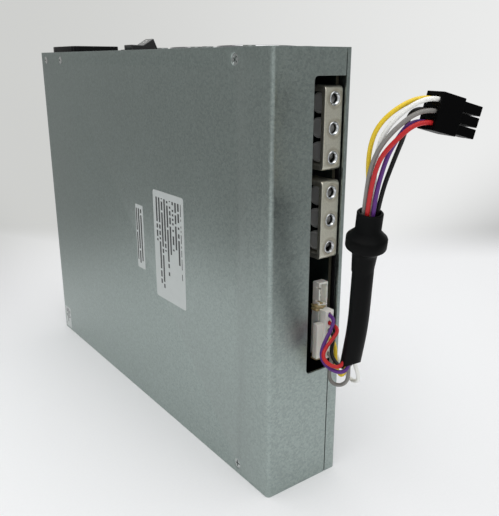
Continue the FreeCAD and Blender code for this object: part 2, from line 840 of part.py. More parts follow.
# Harness header with the white plug in it. The plug's cable face stands out of the window.
SOCKET_X = (f"{BOARD_FACE} - socket_tall", BOARD_FACE)
SOCKET_Y = (BOARD_FRONT, f"{BOARD_FRONT} + socket_long")
socket_shell = block(SOCKET_X, SOCKET_Y, (SOCKET_LOW, SOCKET_HIGH))
WELL_X = (f"{SOCKET_X[0]} + header_wall", f"{SOCKET_X[1]} - header_wall")
WELL_Z = (f"{SOCKET_LOW} + header_wall", f"{SOCKET_HIGH} - header_wall")
socket_well = block(WELL_X, (SOCKET_Y[0], f"{SOCKET_Y[1]} - header_floor"), WELL_Z)
node("harness_header", cut(socket_shell, socket_well))
SOCKET_MIDDLE = f"({SOCKET_LOW} + socket_wide / 2)"
PLUG_FACE = f"({FRONT} - plug_proud)"
PLUG_X = (f"{WELL_X[0]} + plug_play", f"{WELL_X[1]} - plug_play")
PLUG_Z = (f"{WELL_Z[0]} + plug_play", f"{WELL_Z[1]} - plug_play")
plug_inner = block(PLUG_X, (PLUG_FACE, f"{SOCKET_Y[1]} - header_floor - plug_play"), PLUG_Z)
plug_collar = block(
    (SOCKET_X[0], SOCKET_X[1]),
    (PLUG_FACE, f"{SOCKET_Y[0]} - plug_play"),
    (f"{SOCKET_LOW} + header_wall / 2", f"{SOCKET_HIGH} - header_wall / 2"),
)
plug_latch = block(
    (f"{SOCKET_X[0]} - plug_rib", f"{SOCKET_X[0]} + header_wall / 2"),
    (f"{PLUG_FACE} + plug_rib", f"{SOCKET_Y[0]} - plug_play"),
    (f"{SOCKET_LOW} + header_wall", SOCKET_MIDDLE),
)
WIRE_X = f"({PLUG_X[0]} + {PLUG_X[1]}) / 2"
wire_holes = []
for step in range(6):
    wire_z = f"{SOCKET_MIDDLE} + {2.5 - step} * wire_pitch"
    wire_holes.append(rod("y", WIRE_X, PLUG_FACE, wire_z, "wire_hole", "wire_seat"))
node("harness_plug", cut(fuse(plug_inner, plug_collar, plug_latch), *wire_holes))

# Harness: six wires from the plug through a rubber sleeve to the black signal plug.
# Each route is the corners that its rounded line passes inside, laid out for a cable face about LAID_OUT.
LAID_OUT = Vector(12.7, -134.0, 77.0)
ROUTES = {
    "wire_purple": [
        (12.7, -131.5, 86.9), (12.7, -137.6, 86.6), (9.2, -142.6, 80.4), (3.8, -143.4, 74.0),
        (0.9, -144.0, 66.0), (3.8, -146.6, 61.6), (7.7, -149.2, 62.0), (10.3, -150.9, 66.7),
        (7.3, -157.7, 91.0), (3.2, -162.6, 120.8), (0.1, -168.3, 150.7), (-0.3, -172.0, 164.5),
        (-0.5, -175.8, 172.5), (3.1, -180.7, 181.7), (9.7, -182.3, 179.9),
    ],
    "wire_red": [
        (12.7, -131.5, 82.94), (12.9, -137.2, 82.6), (10.0, -141.0, 77.6), (4.8, -140.4, 73.2),
        (2.2, -139.8, 67.7), (3.6, -143.2, 64.0), (5.9, -147.6, 64.0), (8.5, -150.0, 67.7),
        (5.6, -156.5, 91.0), (1.5, -161.4, 120.8), (-1.5, -167.1, 150.7), (-5.0, -172.5, 165.5),
        (-4.6, -178.5, 173.0), (2.1, -184.8, 181.7), (8.7, -186.4, 179.9),
    ],
    "wire_black": [
        (12.7, -131.5, 78.98), (13.0, -136.6, 78.8), (17.4, -140.4, 75.6), (20.4, -143.0, 70.6),
        (20.9, -143.7, 65.2), (18.4, -145.4, 62.1), (14.85, -147.9, 62.1), (12.35, -149.6, 65.2),
        (9.1, -157.0, 91.4), (5.0, -161.8, 121.2), (2.0, -167.5, 151.0), (7.4, -170.0, 166.0),
        (7.0, -174.5, 175.5), (2.2, -180.5, 186.3), (10.7, -182.6, 184.0),
    ],
    "wire_yellow": [
        (12.7, -131.5, 75.02), (12.5, -136.4, 74.8), (9.8, -138.6, 70.8), (9.4, -138.0, 65.8),
        (9.9, -140.6, 62.4), (10.4, -144.2, 62.4), (10.8, -146.7, 66.5), (7.7, -153.7, 91.8),
        (3.6, -158.6, 121.6), (0.5, -164.3, 151.4), (-4.0, -166.5, 168.5), (-5.0, -172.5, 181.0),
        (5.1, -181.2, 189.9), (11.7, -182.8, 188.1),
    ],
    "wire_white": [
        (12.7, -131.5, 71.06), (12.9, -136.0, 70.7), (15.6, -138.4, 64.8), (15.8, -137.6, 59.6),
        (14.9, -140.3, 56.2), (13.9, -144.0, 56.2), (13.3, -146.0, 59.8), (9.3, -154.9, 91.8),
        (5.2, -159.8, 121.6), (2.2, -165.5, 151.4), (-3.2, -169.5, 168.0), (-4.2, -176.4, 180.6),
        (4.1, -185.3, 189.9), (10.7, -186.9, 188.1),
    ],
    "wire_gray": [
        (12.7, -131.5, 67.1), (12.6, -135.8, 66.7), (8.4, -137.2, 59.8), (5.0, -138.8, 57.0),
        (5.2, -142.0, 54.2), (8.2, -144.8, 55.4), (9.6, -146.0, 60.4), (5.8, -154.5, 91.4),
        (1.7, -159.4, 121.2), (-1.3, -165.1, 151.0), (-5.6, -170.4, 166.4), (-4.3, -177.6, 177.2),
        (3.1, -185.0, 185.8), (9.7, -186.6, 184.0),
    ],
}
HARNESS_SHIFT = Vector(worth(WIRE_X), worth(PLUG_FACE), worth(SOCKET_MIDDLE)) - LAID_OUT
SLEEVE_TOP = Vector(1.0, -165.1, 144.7) + HARNESS_SHIFT
SLEEVE_UPPER = Vector(3.4, -160.6, 121.2) + HARNESS_SHIFT
SLEEVE_KNEE = Vector(7.48, -155.74, 91.4) + HARNESS_SHIFT
SLEEVE_END = Vector(10.0, -150.0, 70.9) + HARNESS_SHIFT
SLANT_ACROSS = Vector(0.804, -0.594, 0)
SIGNAL_REAR = Vector(8.3, -184.1, 184.5) + HARNESS_SHIFT
SIGNAL_WAY = Vector(0.94, -0.226, -0.255).normalize()
ARC_SHARE = 0.45


def route_path(corners):
    """Straight runs joined by the largest tangent arcs that the runs allow."""
    edges = []
    radii = []
    at = corners[0]
    for before, here, after in zip(corners, corners[1:], corners[2:]):
        back = before - here
        on = after - here
        half = (math.pi - back.getAngle(on)) / 2
        radius = ARC_SHARE * min(back.Length, on.Length) / math.tan(half)
        arc = corner_arc(before, here, after, radius)
        edges.append(Part.LineSegment(at, arc.StartPoint).toShape())
        edges.append(arc.toShape())
        at = arc.EndPoint
        radii.append(radius)
    edges.append(Part.LineSegment(at, corners[-1]).toShape())
    return Part.Wire(edges), radii


def swept(name, path, diameter):
    """A round tube of the document along a path."""
    spine = doc.addObject("Part::Feature", f"{name}_path")
    spine.Shape = path
    section = doc.addObject("Part::Circle", f"{name}_section")
    section.setExpression("Radius", linked(f"({diameter}) / 2"))
    first = path.Edges[0]
    start_way = first.tangentAt(first.FirstParameter)
    section.Placement = Placement(first.Vertexes[0].Point, Rotation(Vector(0, 0, 1), start_way))
    made = doc.addObject("Part::Sweep", name)
    made.Sections = [section]
    made.Spine = (spine, [f"Edge{i + 1}" for i in range(len(path.Edges))])
    made.Solid = True
    made.Frenet = False
    return made


for name, corners in ROUTES.items():
    path, radii = route_path([Vector(*corner) + HARNESS_SHIFT for corner in corners])
    wire = node(name, swept(name, path, "wire_diameter"))
    doc.recompute()
    section = math.pi * worth("wire_diameter") ** 2 / 4
    fill = wire.Shape.Volume / (section * path.Length)
    print(f"{name}: {path.Length:.1f} mm, volume {fill:.4f} of its section")
    print("   radii", " ".join(f"{radius:.1f}" for radius in radii))

# Grommet: a rubber moulding with an open neck and a round collar. The sleeve carries on below it.
grommet_foot = "neck_length + collar_slope + collar_side + collar_taper"
grommet = turned([
    ("sleeve_bore / 2", "0"),
    ("neck_outside / 2", "0"),
    ("neck_outside / 2", "-neck_length"),
    ("collar_outside / 2", "-neck_length - collar_slope", "collar_slope / 2"),
    ("collar_outside / 2", "-neck_length - collar_slope - collar_side", "collar_side / 3"),
    ("sleeve_outside / 2", f"-({grommet_foot})"),
    ("sleeve_bore / 2", f"-({grommet_foot})"),
])
grommet_way = (SLEEVE_TOP - SLEEVE_UPPER).normalize()
grommet.Placement = Placement(SLEEVE_TOP, Rotation(Vector(0, 0, 1), grommet_way))
node("cable_grommet", grommet)
sleeve_start = SLEEVE_TOP - grommet_way * worth(f"{grommet_foot} + sleeve_gap")
sleeve_path, _ = route_path([sleeve_start, SLEEVE_KNEE, SLEEVE_END])
sleeve_skin = swept("sleeve_skin", sleeve_path, "sleeve_outside")
sleeve = cut(sleeve_skin, swept("sleeve_hollow", sleeve_path, "sleeve_bore"))
slant = doc.addObject("Part::Box", "Slant")
for side in ("Length", "Width", "Height"):
    slant.setExpression(side, linked("2 * sleeve_outside"))
sleeve_way = (SLEEVE_KNEE - SLEEVE_END).normalize()
slant_turn = Rotation(SLANT_ACROSS, Vector(0, 0, 1), sleeve_way, "ZXY")
slant_turn = slant_turn.multiply(Rotation(Vector(0, 1, 0), worth("sleeve_slant")))
slant_half = worth("sleeve_outside")
slant_drop = Vector(-slant_half, -slant_half, -2 * slant_half)
slant_corner = SLEEVE_END + sleeve_way * worth("sleeve_trim") + slant_turn.multVec(slant_drop)
slant.Placement = Placement(slant_corner, slant_turn)
node("cable_sleeve", cut(sleeve, slant))

# Signal plug: a black block with six square silos in two rows, drawn along +X and then turned into place.
plug_rows = (-0.5, 0.5)
plug_columns = (-1, 0, 1)
block_tall = "3 * contact_pitch + 2 * plug_skin"
block_deep = "2 * contact_pitch + 2 * plug_skin"
signal_block = block(
    ("0", "plug_block"),
    (f"-({block_deep}) / 2", f"({block_deep}) / 2"),
    (f"-({block_tall}) / 2", f"({block_tall}) / 2"),
)
signal_pieces = [signal_block]
signal_cuts = []
for row in plug_rows:
    for column in plug_columns:
        y = f"{row} * contact_pitch"
        z = f"{column} * contact_pitch"
        span_y = (f"{y} - silo / 2", f"{y} + silo / 2")
        span_z = (f"{z} - silo / 2", f"{z} + silo / 2")
        signal_pieces.append(block(("plug_block", "plug_block + silo_length"), span_y, span_z))
        bore_y = (f"{y} - silo_bore / 2", f"{y} + silo_bore / 2")
        bore_z = (f"{z} - silo_bore / 2", f"{z} + silo_bore / 2")
        signal_cuts.append(block(("plug_block", "plug_block + silo_length"), bore_y, bore_z))
        signal_cuts.append(rod("x", "0", y, z, "wire_hole", "wire_seat"))
latch_foot = f"({block_deep}) / 2"
signal_pieces.append(
    block(
        ("plug_block / 4", "plug_block + silo_length / 2"),
        (f"{latch_foot} + latch_thick", f"{latch_foot} + 2 * latch_thick"),
        ("-latch_wide / 2", "latch_wide / 2"),
    )
)
signal_pieces.append(
    block(
        ("plug_block / 2", "3 * plug_block / 4"),
        (latch_foot, f"{latch_foot} + latch_thick"),
        ("-latch_wide / 2", "latch_wide / 2"),
    )
)
signal_plug = cut(fuse(*signal_pieces), *signal_cuts)
signal_up = Vector(0, 0, 1) - SIGNAL_WAY * SIGNAL_WAY.z
signal_plug.Placement = Placement(SIGNAL_REAR, Rotation(SIGNAL_WAY, Vector(), signal_up, "XZY"))
node("signal_plug", signal_plug)

# Mains inlet: flange on the panel, box behind it, a deep well with three flat pins.
flange_top = f"{PANEL_TOP} + inlet_flange"
flange_outline = rounded("0", INLET_Y, "inlet_wide", "inlet_long", "inlet_corner")
inlet_flange = prism("xy", flange_outline, PANEL_TOP, flange_top)
inlet_box = slab("0", INLET_Y, f"{PANEL_TOP} - inlet_deep", "inlet_box_wide", "inlet_box_long", "inlet_deep")
well_floor = f"({flange_top} - cavity_deep)"
half_wide = "cavity_wide / 2"
half_long = "cavity_long / 2"
well_outline = [
    (f"-{half_wide}", f"{INLET_Y} - {half_long}"),
    (half_wide, f"{INLET_Y} - {half_long}", "cavity_corner"),
    (half_wide, f"{INLET_Y} + {half_long}", "cavity_corner"),
    (f"-{half_wide}", f"{INLET_Y} + {half_long}"),
]
inlet_well = prism("xy", well_outline, well_floor, flange_top)
blade_places = [
    ("-blade_offset", f"{INLET_Y} - blade_span / 2"),
    ("-blade_offset", f"{INLET_Y} + blade_span / 2"),
    ("blade_offset", INLET_Y),
]
blade_slots = []
blades = []
for x, y in blade_places:
    blade_low = f"{PANEL_TOP} - inlet_deep - blade_tail"
    blade_slots.append(slab(x, y, blade_low, "blade_thick", "blade_wide", "inlet_deep"))
    blade_tall = f"{flange_top} - blade_recess - ({blade_low})"
    blades.append(slab(x, y, f"({blade_low})", "blade_thick", "blade_wide", f"({blade_tall})"))
node("inlet_body", cut(fuse(inlet_flange, inlet_box), inlet_well, *blade_slots))
node("inlet_pins", group(*blades))

# Rocker switch: bezel and housing, the rocker on its two pivots, and the terminals below.
PIVOT_Z = f"({PANEL_TOP} + pivot_height)"
bezel_outline = rounded("0", SWITCH_Y, "bezel_long", "bezel_wide", "bend")
bezel = prism("xy", bezel_outline, PANEL_TOP, f"{PANEL_TOP} + bezel_high")
housing = slab("0", SWITCH_Y, f"{PANEL_TOP} - switch_deep", "switch_long", "switch_wide", "switch_deep")
well = slab("0", SWITCH_Y, f"{PANEL_TOP} - well_deep", "well_long", "well_wide", "well_deep + bezel_high")
pivot_start = f"{SWITCH_Y} - well_wide / 2 - pivot_reach"
pivot_hole = rod("y", "0", pivot_start, PIVOT_Z, "pivot + 2 * pivot_play", "well_wide + 2 * pivot_reach")
node("switch_body", cut(fuse(bezel, housing), well, pivot_hole))
rocker_outline = []
for side in (-1, 1):
    tip_x = f"{side} * rocker_reach * cos(rocker_rise + rocker_taper)"
    tip = [
        (tip_x, "rocker_crown + rocker_reach * sin(rocker_rise)"),
        (f"{side} * rocker_reach", "0"),
        (f"{side} * rocker_reach * cos(rocker_rise)", "-rocker_reach * sin(rocker_rise)"),
        (f"{side} * rocker_keel / 2", "-rocker_keel"),
    ]
    rocker_outline += [("0", "rocker_crown")] + tip if side < 0 else tip[::-1]
paddle = prism("xz", rocker_outline, "-rocker_wide / 2", "rocker_wide / 2")
pivot_end = "(well_wide / 2 + pivot_reach - 2 * pivot_play)"
pivots = rod("y", "0", f"-{pivot_end}", "0", "pivot", f"2 * {pivot_end}")
rocker = fuse(paddle, pivots)
rocker.Placement = Placement(Vector(), Rotation(Vector(0, 1, 0), -worth("rocker_rise")))
node("switch_rocker", put(rocker, "0", SWITCH_Y, PIVOT_Z))
tabs = []
for side in (-1, 1):
    tab_low = f"({PANEL_TOP} - switch_deep - tab_length)"
    tabs.append(slab(f"{side} * tab_span / 2", SWITCH_Y, tab_low, "tab_thick", "tab_wide", "tab_length"))
node("switch_terminals", group(*tabs))

# Fans: frame, bearing, stator, shaft and impeller, under the panel, with a wire guard on top.
FAN_LOW = f"({PANEL_UNDER} - fan_deep)"
BASE_TOP = f"({FAN_LOW} + fan_base)"
HUB_LOW = f"({BASE_TOP} + hub_gap)"
HUB_TOP = f"({PANEL_UNDER} - hub_top)"


def fan_frame(y):
    """Two square rims joined by a round barrel, with the motor's base on struts at the lower end."""
    rim = rounded("0", y, FAN_SIZE, FAN_SIZE, "fan_corner")
    low_rim = prism("xy", rim, FAN_LOW, f"{FAN_LOW} + fan_rim")
    top_rim = prism("xy", rim, f"{PANEL_UNDER} - fan_rim", PANEL_UNDER)
    barrel = rod("z", "0", y, FAN_LOW, f"{FAN_SIZE} - screw_play", "fan_deep")
    bore = rod("z", "0", y, FAN_LOW, FAN_BORE, "fan_deep")
    holes = []
    for hole_x, hole_y in fan_corners(y):
        holes.append(rod("z", hole_x, hole_y, FAN_LOW, "fan_hole", "fan_deep"))
    shell = cut(fuse(low_rim, top_rim, barrel), bore, *holes)
    base = rod("z", "0", y, FAN_LOW, "hub", "fan_base")
    tube = rod("z", "0", y, FAN_LOW, "bearing_tube", "fan_base + bearing_length")
    half = f"({FAN_BORE} + {FAN_SIZE}) / 4"
    struts = [
        block(("-fan_strut / 2", "fan_strut / 2"), (f"{y} - {half}", f"{y} + {half}"), (FAN_LOW, BASE_TOP)),
        block((f"-{half}", half), (f"{y} - fan_strut / 2", f"{y} + fan_strut / 2"), (FAN_LOW, BASE_TOP)),
    ]
    seat = rod("z", "0", y, BASE_TOP, "bearing", "bearing_length")
    return cut(fuse(shell, base, tube, *struts), seat)


def fan_bearing(y):
    sleeve_ring = rod("z", "0", y, BASE_TOP, "bearing", "bearing_length")
    return cut(sleeve_ring, rod("z", "0", y, BASE_TOP, "shaft + 2 * shaft_play", "bearing_length"))


def fan_stator(y):
    """The stack of plates with its coils, pushed over the bearing tube."""
    low = f"({BASE_TOP} + hub_gap)"
    stack = rod("z", "0", y, low, "stator", "stator_length")
    bore = rod("z", "0", y, low, "bearing_tube", "stator_length")
    notches = []
    for a, b in ((1, 1), (1, -1), (-1, 1), (-1, -1)):
        notch_y = f"{y} + {b} * stator / 3"
        notches.append(rod("z", f"{a} * stator / 3", notch_y, low, "stator / 4", "stator_length"))
    return cut(stack, bore, *notches)


def fan_shaft(y):
    low = f"({BASE_TOP} + shaft_play)"
    return rod("z", "0", y, low, "shaft", f"{HUB_TOP} - hub_skin - {low}")


def blade_section(body, distance, chord, pitch):
    """A thin slanted section of the blade, square to its radius."""
    middle = f"({HUB_LOW} + {HUB_TOP}) / 2"
    corners = []
    for a, b in ((-1, -1), (1, -1), (1, 1), (-1, 1)):
        across = f"{a} * {chord} / 2 * cos({pitch}) - {b} * blade_skin / 2 * sin({pitch})"
        up = f"{middle} + {a} * {chord} / 2 * sin({pitch}) + {b} * blade_skin / 2 * cos({pitch})"
        corners.append((across, up))
    sketch = body_sketch(body, "yz", corners)
    sketch.setExpression("AttachmentOffset.Base.z", linked(distance))
    return sketch


def fan_rotor(y):
    """The cup of the motor with twisted blades lofted from root to tip, patterned round the shaft."""
    body = doc.addObject("PartDesign::Body", "FanRotor")
    skirt = "hub / 2"
    cup = [
        ("0", HUB_TOP),
        ("0", f"{HUB_TOP} - hub_skin"),
        (f"{skirt} - hub_skin", f"{HUB_TOP} - hub_skin"),
        (f"{skirt} - hub_skin", HUB_LOW),
        (skirt, HUB_LOW),
        (skirt, HUB_TOP, "hub_skin"),
    ]
    turn = body.newObject("PartDesign::Revolution", "Cup")
    turn.Profile = body_sketch(body, "xz", cup)
    turn.ReferenceAxis = (next(f for f in body.Origin.OriginFeatures if f.Role == "Z_Axis"), [""])
    turn.Angle = 360
    doc.recompute()
    root = blade_section(body, "hub / 2 - hub_skin / 2", "blade_chord_root", "blade_pitch_root")
    tip = blade_section(body, f"{BLADE_TIP} / 2 + blade_skin", "blade_chord_tip", "blade_pitch_tip")
    blade = body.newObject("PartDesign::AdditiveLoft", "Blade")
    blade.Profile = root
    blade.Sections = [tip]
    blade.Ruled = True
    doc.recompute()
    wheel = body.newObject("PartDesign::PolarPattern", "Blades")
    wheel.Originals = [blade]
    wheel.Axis = (next(f for f in body.Origin.OriginFeatures if f.Role == "Z_Axis"), [""])
    wheel.Angle = 360
    wheel.setExpression("Occurrences", linked("blades"))
    body.Tip = wheel
    doc.recompute()
    wheel_space = doc.addObject("Part::Common", "Wheel")
    wheel_space.Base = body
    wheel_space.Tool = rod("z", "0", "0", FAN_LOW, BLADE_TIP, "fan_deep")
    return put(wheel_space, "0", y, "0")


def fan_guard(y):
    """Chrome wire guard: two rings welded on four spokes that end in eyelets under the screws."""
    low = f"({PANEL_TOP} + guard_lift + guard_wire / 2)"
    high = f"({low} + guard_wire - guard_weld)"
    rings = (f"{FAN_BORE} - 2 * guard_inset", "guard_inner")
    pieces = [ring("0", y, high, wide, "guard_wire") for wide in rings]
    inner = "(guard_inner / 2 - guard_wire)"
    outer = f"({FAN_HOLES} / sqrt(2) - fan_hole)"
    for angle in (45, 135, 225, 315):
        spoke = doc.addObject("Part::Cylinder", "Spoke")
        spoke.setExpression("Radius", linked("guard_wire / 2"))
        spoke.setExpression("Height", linked(f"{outer} - {inner}"))
        way = Vector(math.cos(math.radians(angle)), math.sin(math.radians(angle)), 0)
        spoke.Placement = Placement(Vector(), Rotation(Vector(0, 0, 1), way))
        pieces.append(put(spoke, f"{inner} * cos({angle})", f"{y} + {inner} * sin({angle})", low))
    eyes = []
    for hole_x, hole_y in fan_corners(y):
        pieces.append(rod("z", hole_x, hole_y, PANEL_TOP, "eyelet", "eyelet_thick"))
        eyes.append(rod("z", hole_x, hole_y, PANEL_TOP, "fan_hole + screw_play", "eyelet_thick"))
    return cut(fuse(*pieces), *eyes)


def fan_screw(x, y):
    """A pan head screw with a cross recess, through an eyelet of the guard into the frame."""
    seat = f"({PANEL_TOP} + eyelet_thick)"
    head = rod("z", x, y, seat, "fan_screw_head", "fan_screw_head_height")
    shank = rod("z", x, y, f"{seat} - fan_screw_length", "fan_screw", "fan_screw_length")
    floor = f"{seat} + fan_screw_head_height - recess_deep"
    slots = [slab(x, y, floor, "recess_long", "recess_wide", "recess_deep")]
    slots.append(slab(x, y, floor, "recess_wide", "recess_long", "recess_deep"))
    return cut(fuse(head, shank), *slots)


fan_screws = []
for number, fan_y in FANS.items():
    node(f"fan_frame_{number}", fan_frame(fan_y))
    node(f"fan_bearing_{number}", fan_bearing(fan_y))
    node(f"fan_stator_{number}", fan_stator(fan_y))
    node(f"fan_shaft_{number}", fan_shaft(fan_y))
    node(f"fan_rotor_{number}", fan_rotor(fan_y))
    node(f"fan_guard_{number}", fan_guard(fan_y))
    fan_screws += [fan_screw(x, y) for x, y in fan_corners(fan_y)]
node("fan_screws", group(*fan_screws))


SINK_TOP = f"({BOARD_TOP} - 2 * standoff_edge - gap)"


def on_board(y, z, tall):
    """The spans of a box that stands on the board's inner face."""
    return block((f"{BOARD_FACE} - {tall}", BOARD_FACE), y, z)


def heat_sink(y):
    """An extruded sink: a base plate square to the board with fins on its back side."""
    low = f"{BOARD_FACE} - sink_tall"
    base = block((low, BOARD_FACE), (y, f"{y} + sink_base"), ("part_floor", SINK_TOP))
    count = int(worth("sink_fins"))
    fins = []
    for number in range(count):
        fin = f"({low} + {number} * (sink_tall - sink_fin) / {count - 1})"
        fins.append(block((fin, f"{fin} + sink_fin"), (y, f"{y} + sink_deep"), ("part_floor", SINK_TOP)))
    return fuse(base, *fins)


def transistors(y):
    """Three flat packages against the bare side of a heat sink."""
    made = []
    for step in (-1, 0, 1):
        middle = f"(part_floor + {SINK_TOP}) / 2 + {step} * transistor_pitch"
        span = (f"{middle} - transistor_wide / 2", f"{middle} + transistor_wide / 2")
        made.append(on_board((f"{y} - transistor_thick", y), span, "transistor_long"))
    return made


def transformer(y, z):
    """Two E cores round a wound bobbin."""
    span_y = (f"{y} - core / 2", f"{y} + core / 2")
    core = on_board(span_y, (f"{z} - core / 2", f"{z} + core / 2"), "core_tall")
    floor = f"{BOARD_FACE} - core_tall + core_leg / 2"
    openings = []
    for side in (-1, 1):
        middle = f"{z} + {side} * core / 4"
        span = (f"{middle} - core_leg / 2", f"{middle} + core_leg / 2")
        openings.append(block((floor, f"{BOARD_FACE} - core_leg / 2"), span_y, span))
    coil = rod("x", floor, y, z, "winding", "core_tall - core_leg")
    return fuse(cut(core, *openings), coil)


def toroid(y, z, outside):
    """A wound ring lying on the board, with its turns as ridges."""
    wound = rod("x", f"{BOARD_FACE} - choke_tall", y, z, outside, "choke_tall")
    grooves = []
    count = int(worth("choke_turns"))
    for number in range(count):
        angle = 360 / count * number
        groove_y = f"{y} + {outside} / 2 * cos({angle})"
        groove_z = f"{z} + {outside} / 2 * sin({angle})"
        grooves.append(rod("x", f"{BOARD_FACE} - choke_tall", groove_y, groove_z, "choke_turn", "choke_tall"))
    hole = rod("x", f"{BOARD_FACE} - choke_tall", y, z, "choke_inside", "choke_tall")
    return cut(wound, hole, *grooves)


# Inside, from the output side back: rectifier sink, transformers, control card, input sink, storage, filter.
SECOND_SINK = f"({BAR_END} + gap + transistor_thick)"
CORE_Y = f"({SECOND_SINK} + sink_deep + gap + core / 2)"
CARD_Y = f"({CORE_Y} + core / 2 + gap)"
FIRST_SINK = f"({CARD_Y} + board + gap + transistor_thick)"
STORE_Y = f"({FIRST_SINK} + sink_deep + gap + can_big / 2)"
STORE_Z = "(part_floor + can_big / 2)"
CHOKE_Z = "(part_floor + 2 * can_big + 2 * gap + choke_outside / 2)"
CHOKE_Y = f"({FIRST_SINK} + sink_deep + gap + choke_outside / 2)"
LINE_Y = f"({STORE_Y} + 1.5 * can_big + 2 * gap + filter_outside / 2)"
node("heat_sink_secondary", heat_sink(SECOND_SINK))
node("heat_sink_primary", heat_sink(FIRST_SINK))
node("power_transistors", group(*transistors(SECOND_SINK), *transistors(FIRST_SINK)))
core_zs = [f"(part_floor + core / 2 + {step} * (core + gap))" for step in (0, 1, 2)]
node("power_transformers", group(*[transformer(CORE_Y, z) for z in core_zs]))
card = on_board((CARD_Y, f"{CARD_Y} + board"), ("part_floor", "part_floor + card_long"), "card_wide")
node("control_board", card)
stores = []
for a in (0, 1):
    for b in (0, 1):
        store_y = f"{STORE_Y} + {a} * (can_big + gap)"
        store_z = f"{STORE_Z} + {b} * (can_big + gap)"
        stores.append(can(store_y, store_z, "can_big", "can_big_tall", "can_big_groove"))
node("bulk_capacitors", group(*stores))
node("pfc_choke", toroid(CHOKE_Y, CHOKE_Z, "choke_outside"))
node("line_filter_choke", toroid(LINE_Y, CHOKE_Z, "filter_outside"))
films = []
for step in (0, 1):
    film_y = f"({LINE_Y} - filter_outside / 2 + {step} * (film_thick + gap))"
    film_z = ("part_floor", "part_floor + film_long")
    films.append(on_board((film_y, f"{film_y} + film_thick"), film_z, "film_tall"))
node("film_capacitors", group(*films))
BRIDGE_Y = f"({CHOKE_Y} + choke_outside / 2 + gap)"
bridge_z = (f"{CHOKE_Z} - bridge_long / 2", f"{CHOKE_Z} + bridge_long / 2")
node("bridge_rectifier", on_board((BRIDGE_Y, f"{BRIDGE_Y} + bridge_thick"), bridge_z, "bridge_tall"))
fuse_x = f"({BOARD_FACE} - fuse_cap_diameter / 2)"
fuse_low = "(part_floor + film_long + gap)"
glass = rod("z", fuse_x, LINE_Y, fuse_low, "fuse_diameter", "fuse_length")
cap_lows = (fuse_low, f"{fuse_low} + fuse_length - fuse_cap")
caps = [rod("z", fuse_x, LINE_Y, low, "fuse_cap_diameter", "fuse_cap") for low in cap_lows]
node("line_fuse", fuse(glass, *caps))

doc.recompute()
for piece in doc.Objects:
    if any(state in ("Invalid", "Error") for state in piece.State):
        raise ValueError(f"{piece.Name} ({piece.Label}) failed: {piece.State}")
for name, piece in NODES.items():
    if piece.Shape.isNull() or not piece.Shape.isValid() or not piece.Shape.Solids:
        raise ValueError(f"{name} has no valid shape")
os.makedirs("parts", exist_ok=True)
for name, piece in NODES.items():
    piece.Shape.exportStep(f"parts/{name}.step")
print(len(NODES), "nodes")
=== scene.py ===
import json
import math

import bmesh
import bpy
from mathutils import Matrix, Vector
from mathutils.bvhtree import BVHTree

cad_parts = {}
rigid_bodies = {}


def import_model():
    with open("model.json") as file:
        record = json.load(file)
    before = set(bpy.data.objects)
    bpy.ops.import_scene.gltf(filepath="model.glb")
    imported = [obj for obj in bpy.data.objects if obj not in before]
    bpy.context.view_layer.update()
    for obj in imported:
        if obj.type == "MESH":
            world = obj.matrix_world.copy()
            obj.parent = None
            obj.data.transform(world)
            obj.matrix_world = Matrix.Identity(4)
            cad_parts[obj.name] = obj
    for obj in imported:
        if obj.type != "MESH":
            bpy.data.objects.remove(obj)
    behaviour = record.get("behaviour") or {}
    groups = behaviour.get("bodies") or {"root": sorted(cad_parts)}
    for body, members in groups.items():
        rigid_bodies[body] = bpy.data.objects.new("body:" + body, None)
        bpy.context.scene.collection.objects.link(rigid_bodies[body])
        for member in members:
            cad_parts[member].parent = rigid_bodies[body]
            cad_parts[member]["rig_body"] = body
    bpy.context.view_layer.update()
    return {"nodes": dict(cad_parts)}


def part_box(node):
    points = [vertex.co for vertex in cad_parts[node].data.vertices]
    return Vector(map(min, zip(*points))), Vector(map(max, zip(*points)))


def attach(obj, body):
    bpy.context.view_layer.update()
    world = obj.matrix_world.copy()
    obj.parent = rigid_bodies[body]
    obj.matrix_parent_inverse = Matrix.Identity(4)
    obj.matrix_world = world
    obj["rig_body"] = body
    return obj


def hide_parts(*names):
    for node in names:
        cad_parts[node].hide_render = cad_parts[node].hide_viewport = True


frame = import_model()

# Case: the labelled face with its two walls, the far cover and the two end panels, folded from zinc coated
# sheet. The zinc has a fine crystal spangle and a satin sheen that mirrors the floor. The cut edges are
# slightly broken, and the holes of the case screws are countersunk.
MM = 0.001
TOUCH = 0.01 * MM
FLAT = math.radians(0.5)
SHARP = math.radians(32)
SHEET_EDGE = 0.12 * MM
SINK_RADIUS = 3.8 * MM
ZINC = (0.335, 0.388, 0.370, 1)
PANEL_ZINC = (0.350, 0.395, 0.380, 1)
SKIN = {"Color": "Color", "Roughness": "Float", "Height": "Float"}
SUPPLY = "supply"
nodes = frame["nodes"]
collection = bpy.context.scene.collection


def node_in(tree, kind, inputs=None, **settings):
    """A shader node with its settings, and its inputs set or linked."""
    made = tree.nodes.new(kind)
    for name, value in settings.items():
        setattr(made, name, value)
    for socket, value in (inputs or {}).items():
        if isinstance(value, bpy.types.NodeSocket):
            tree.links.new(value, made.inputs[socket])
        else:
            made.inputs[socket].default_value = value
    return made


def math_in(tree, operation, *values):
    """The output of a Math node."""
    return node_in(tree, "ShaderNodeMath", dict(enumerate(values)), operation=operation).outputs[0]


def vector_in(tree, operation, *values):
    """The output of a Vector Math node: a number for a dot product or a distance, and else a vector."""
    made = node_in(tree, "ShaderNodeVectorMath", dict(enumerate(values)), operation=operation).outputs
    return made["Value"] if operation in ("DOT_PRODUCT", "DISTANCE") else made["Vector"]


def noise_in(tree, place, scale, detail=3.0):
    """A noise of a scale per metre, about 0.5."""
    inputs = {"Vector": place, "Scale": scale, "Detail": detail}
    return node_in(tree, "ShaderNodeTexNoise", inputs).outputs[0]


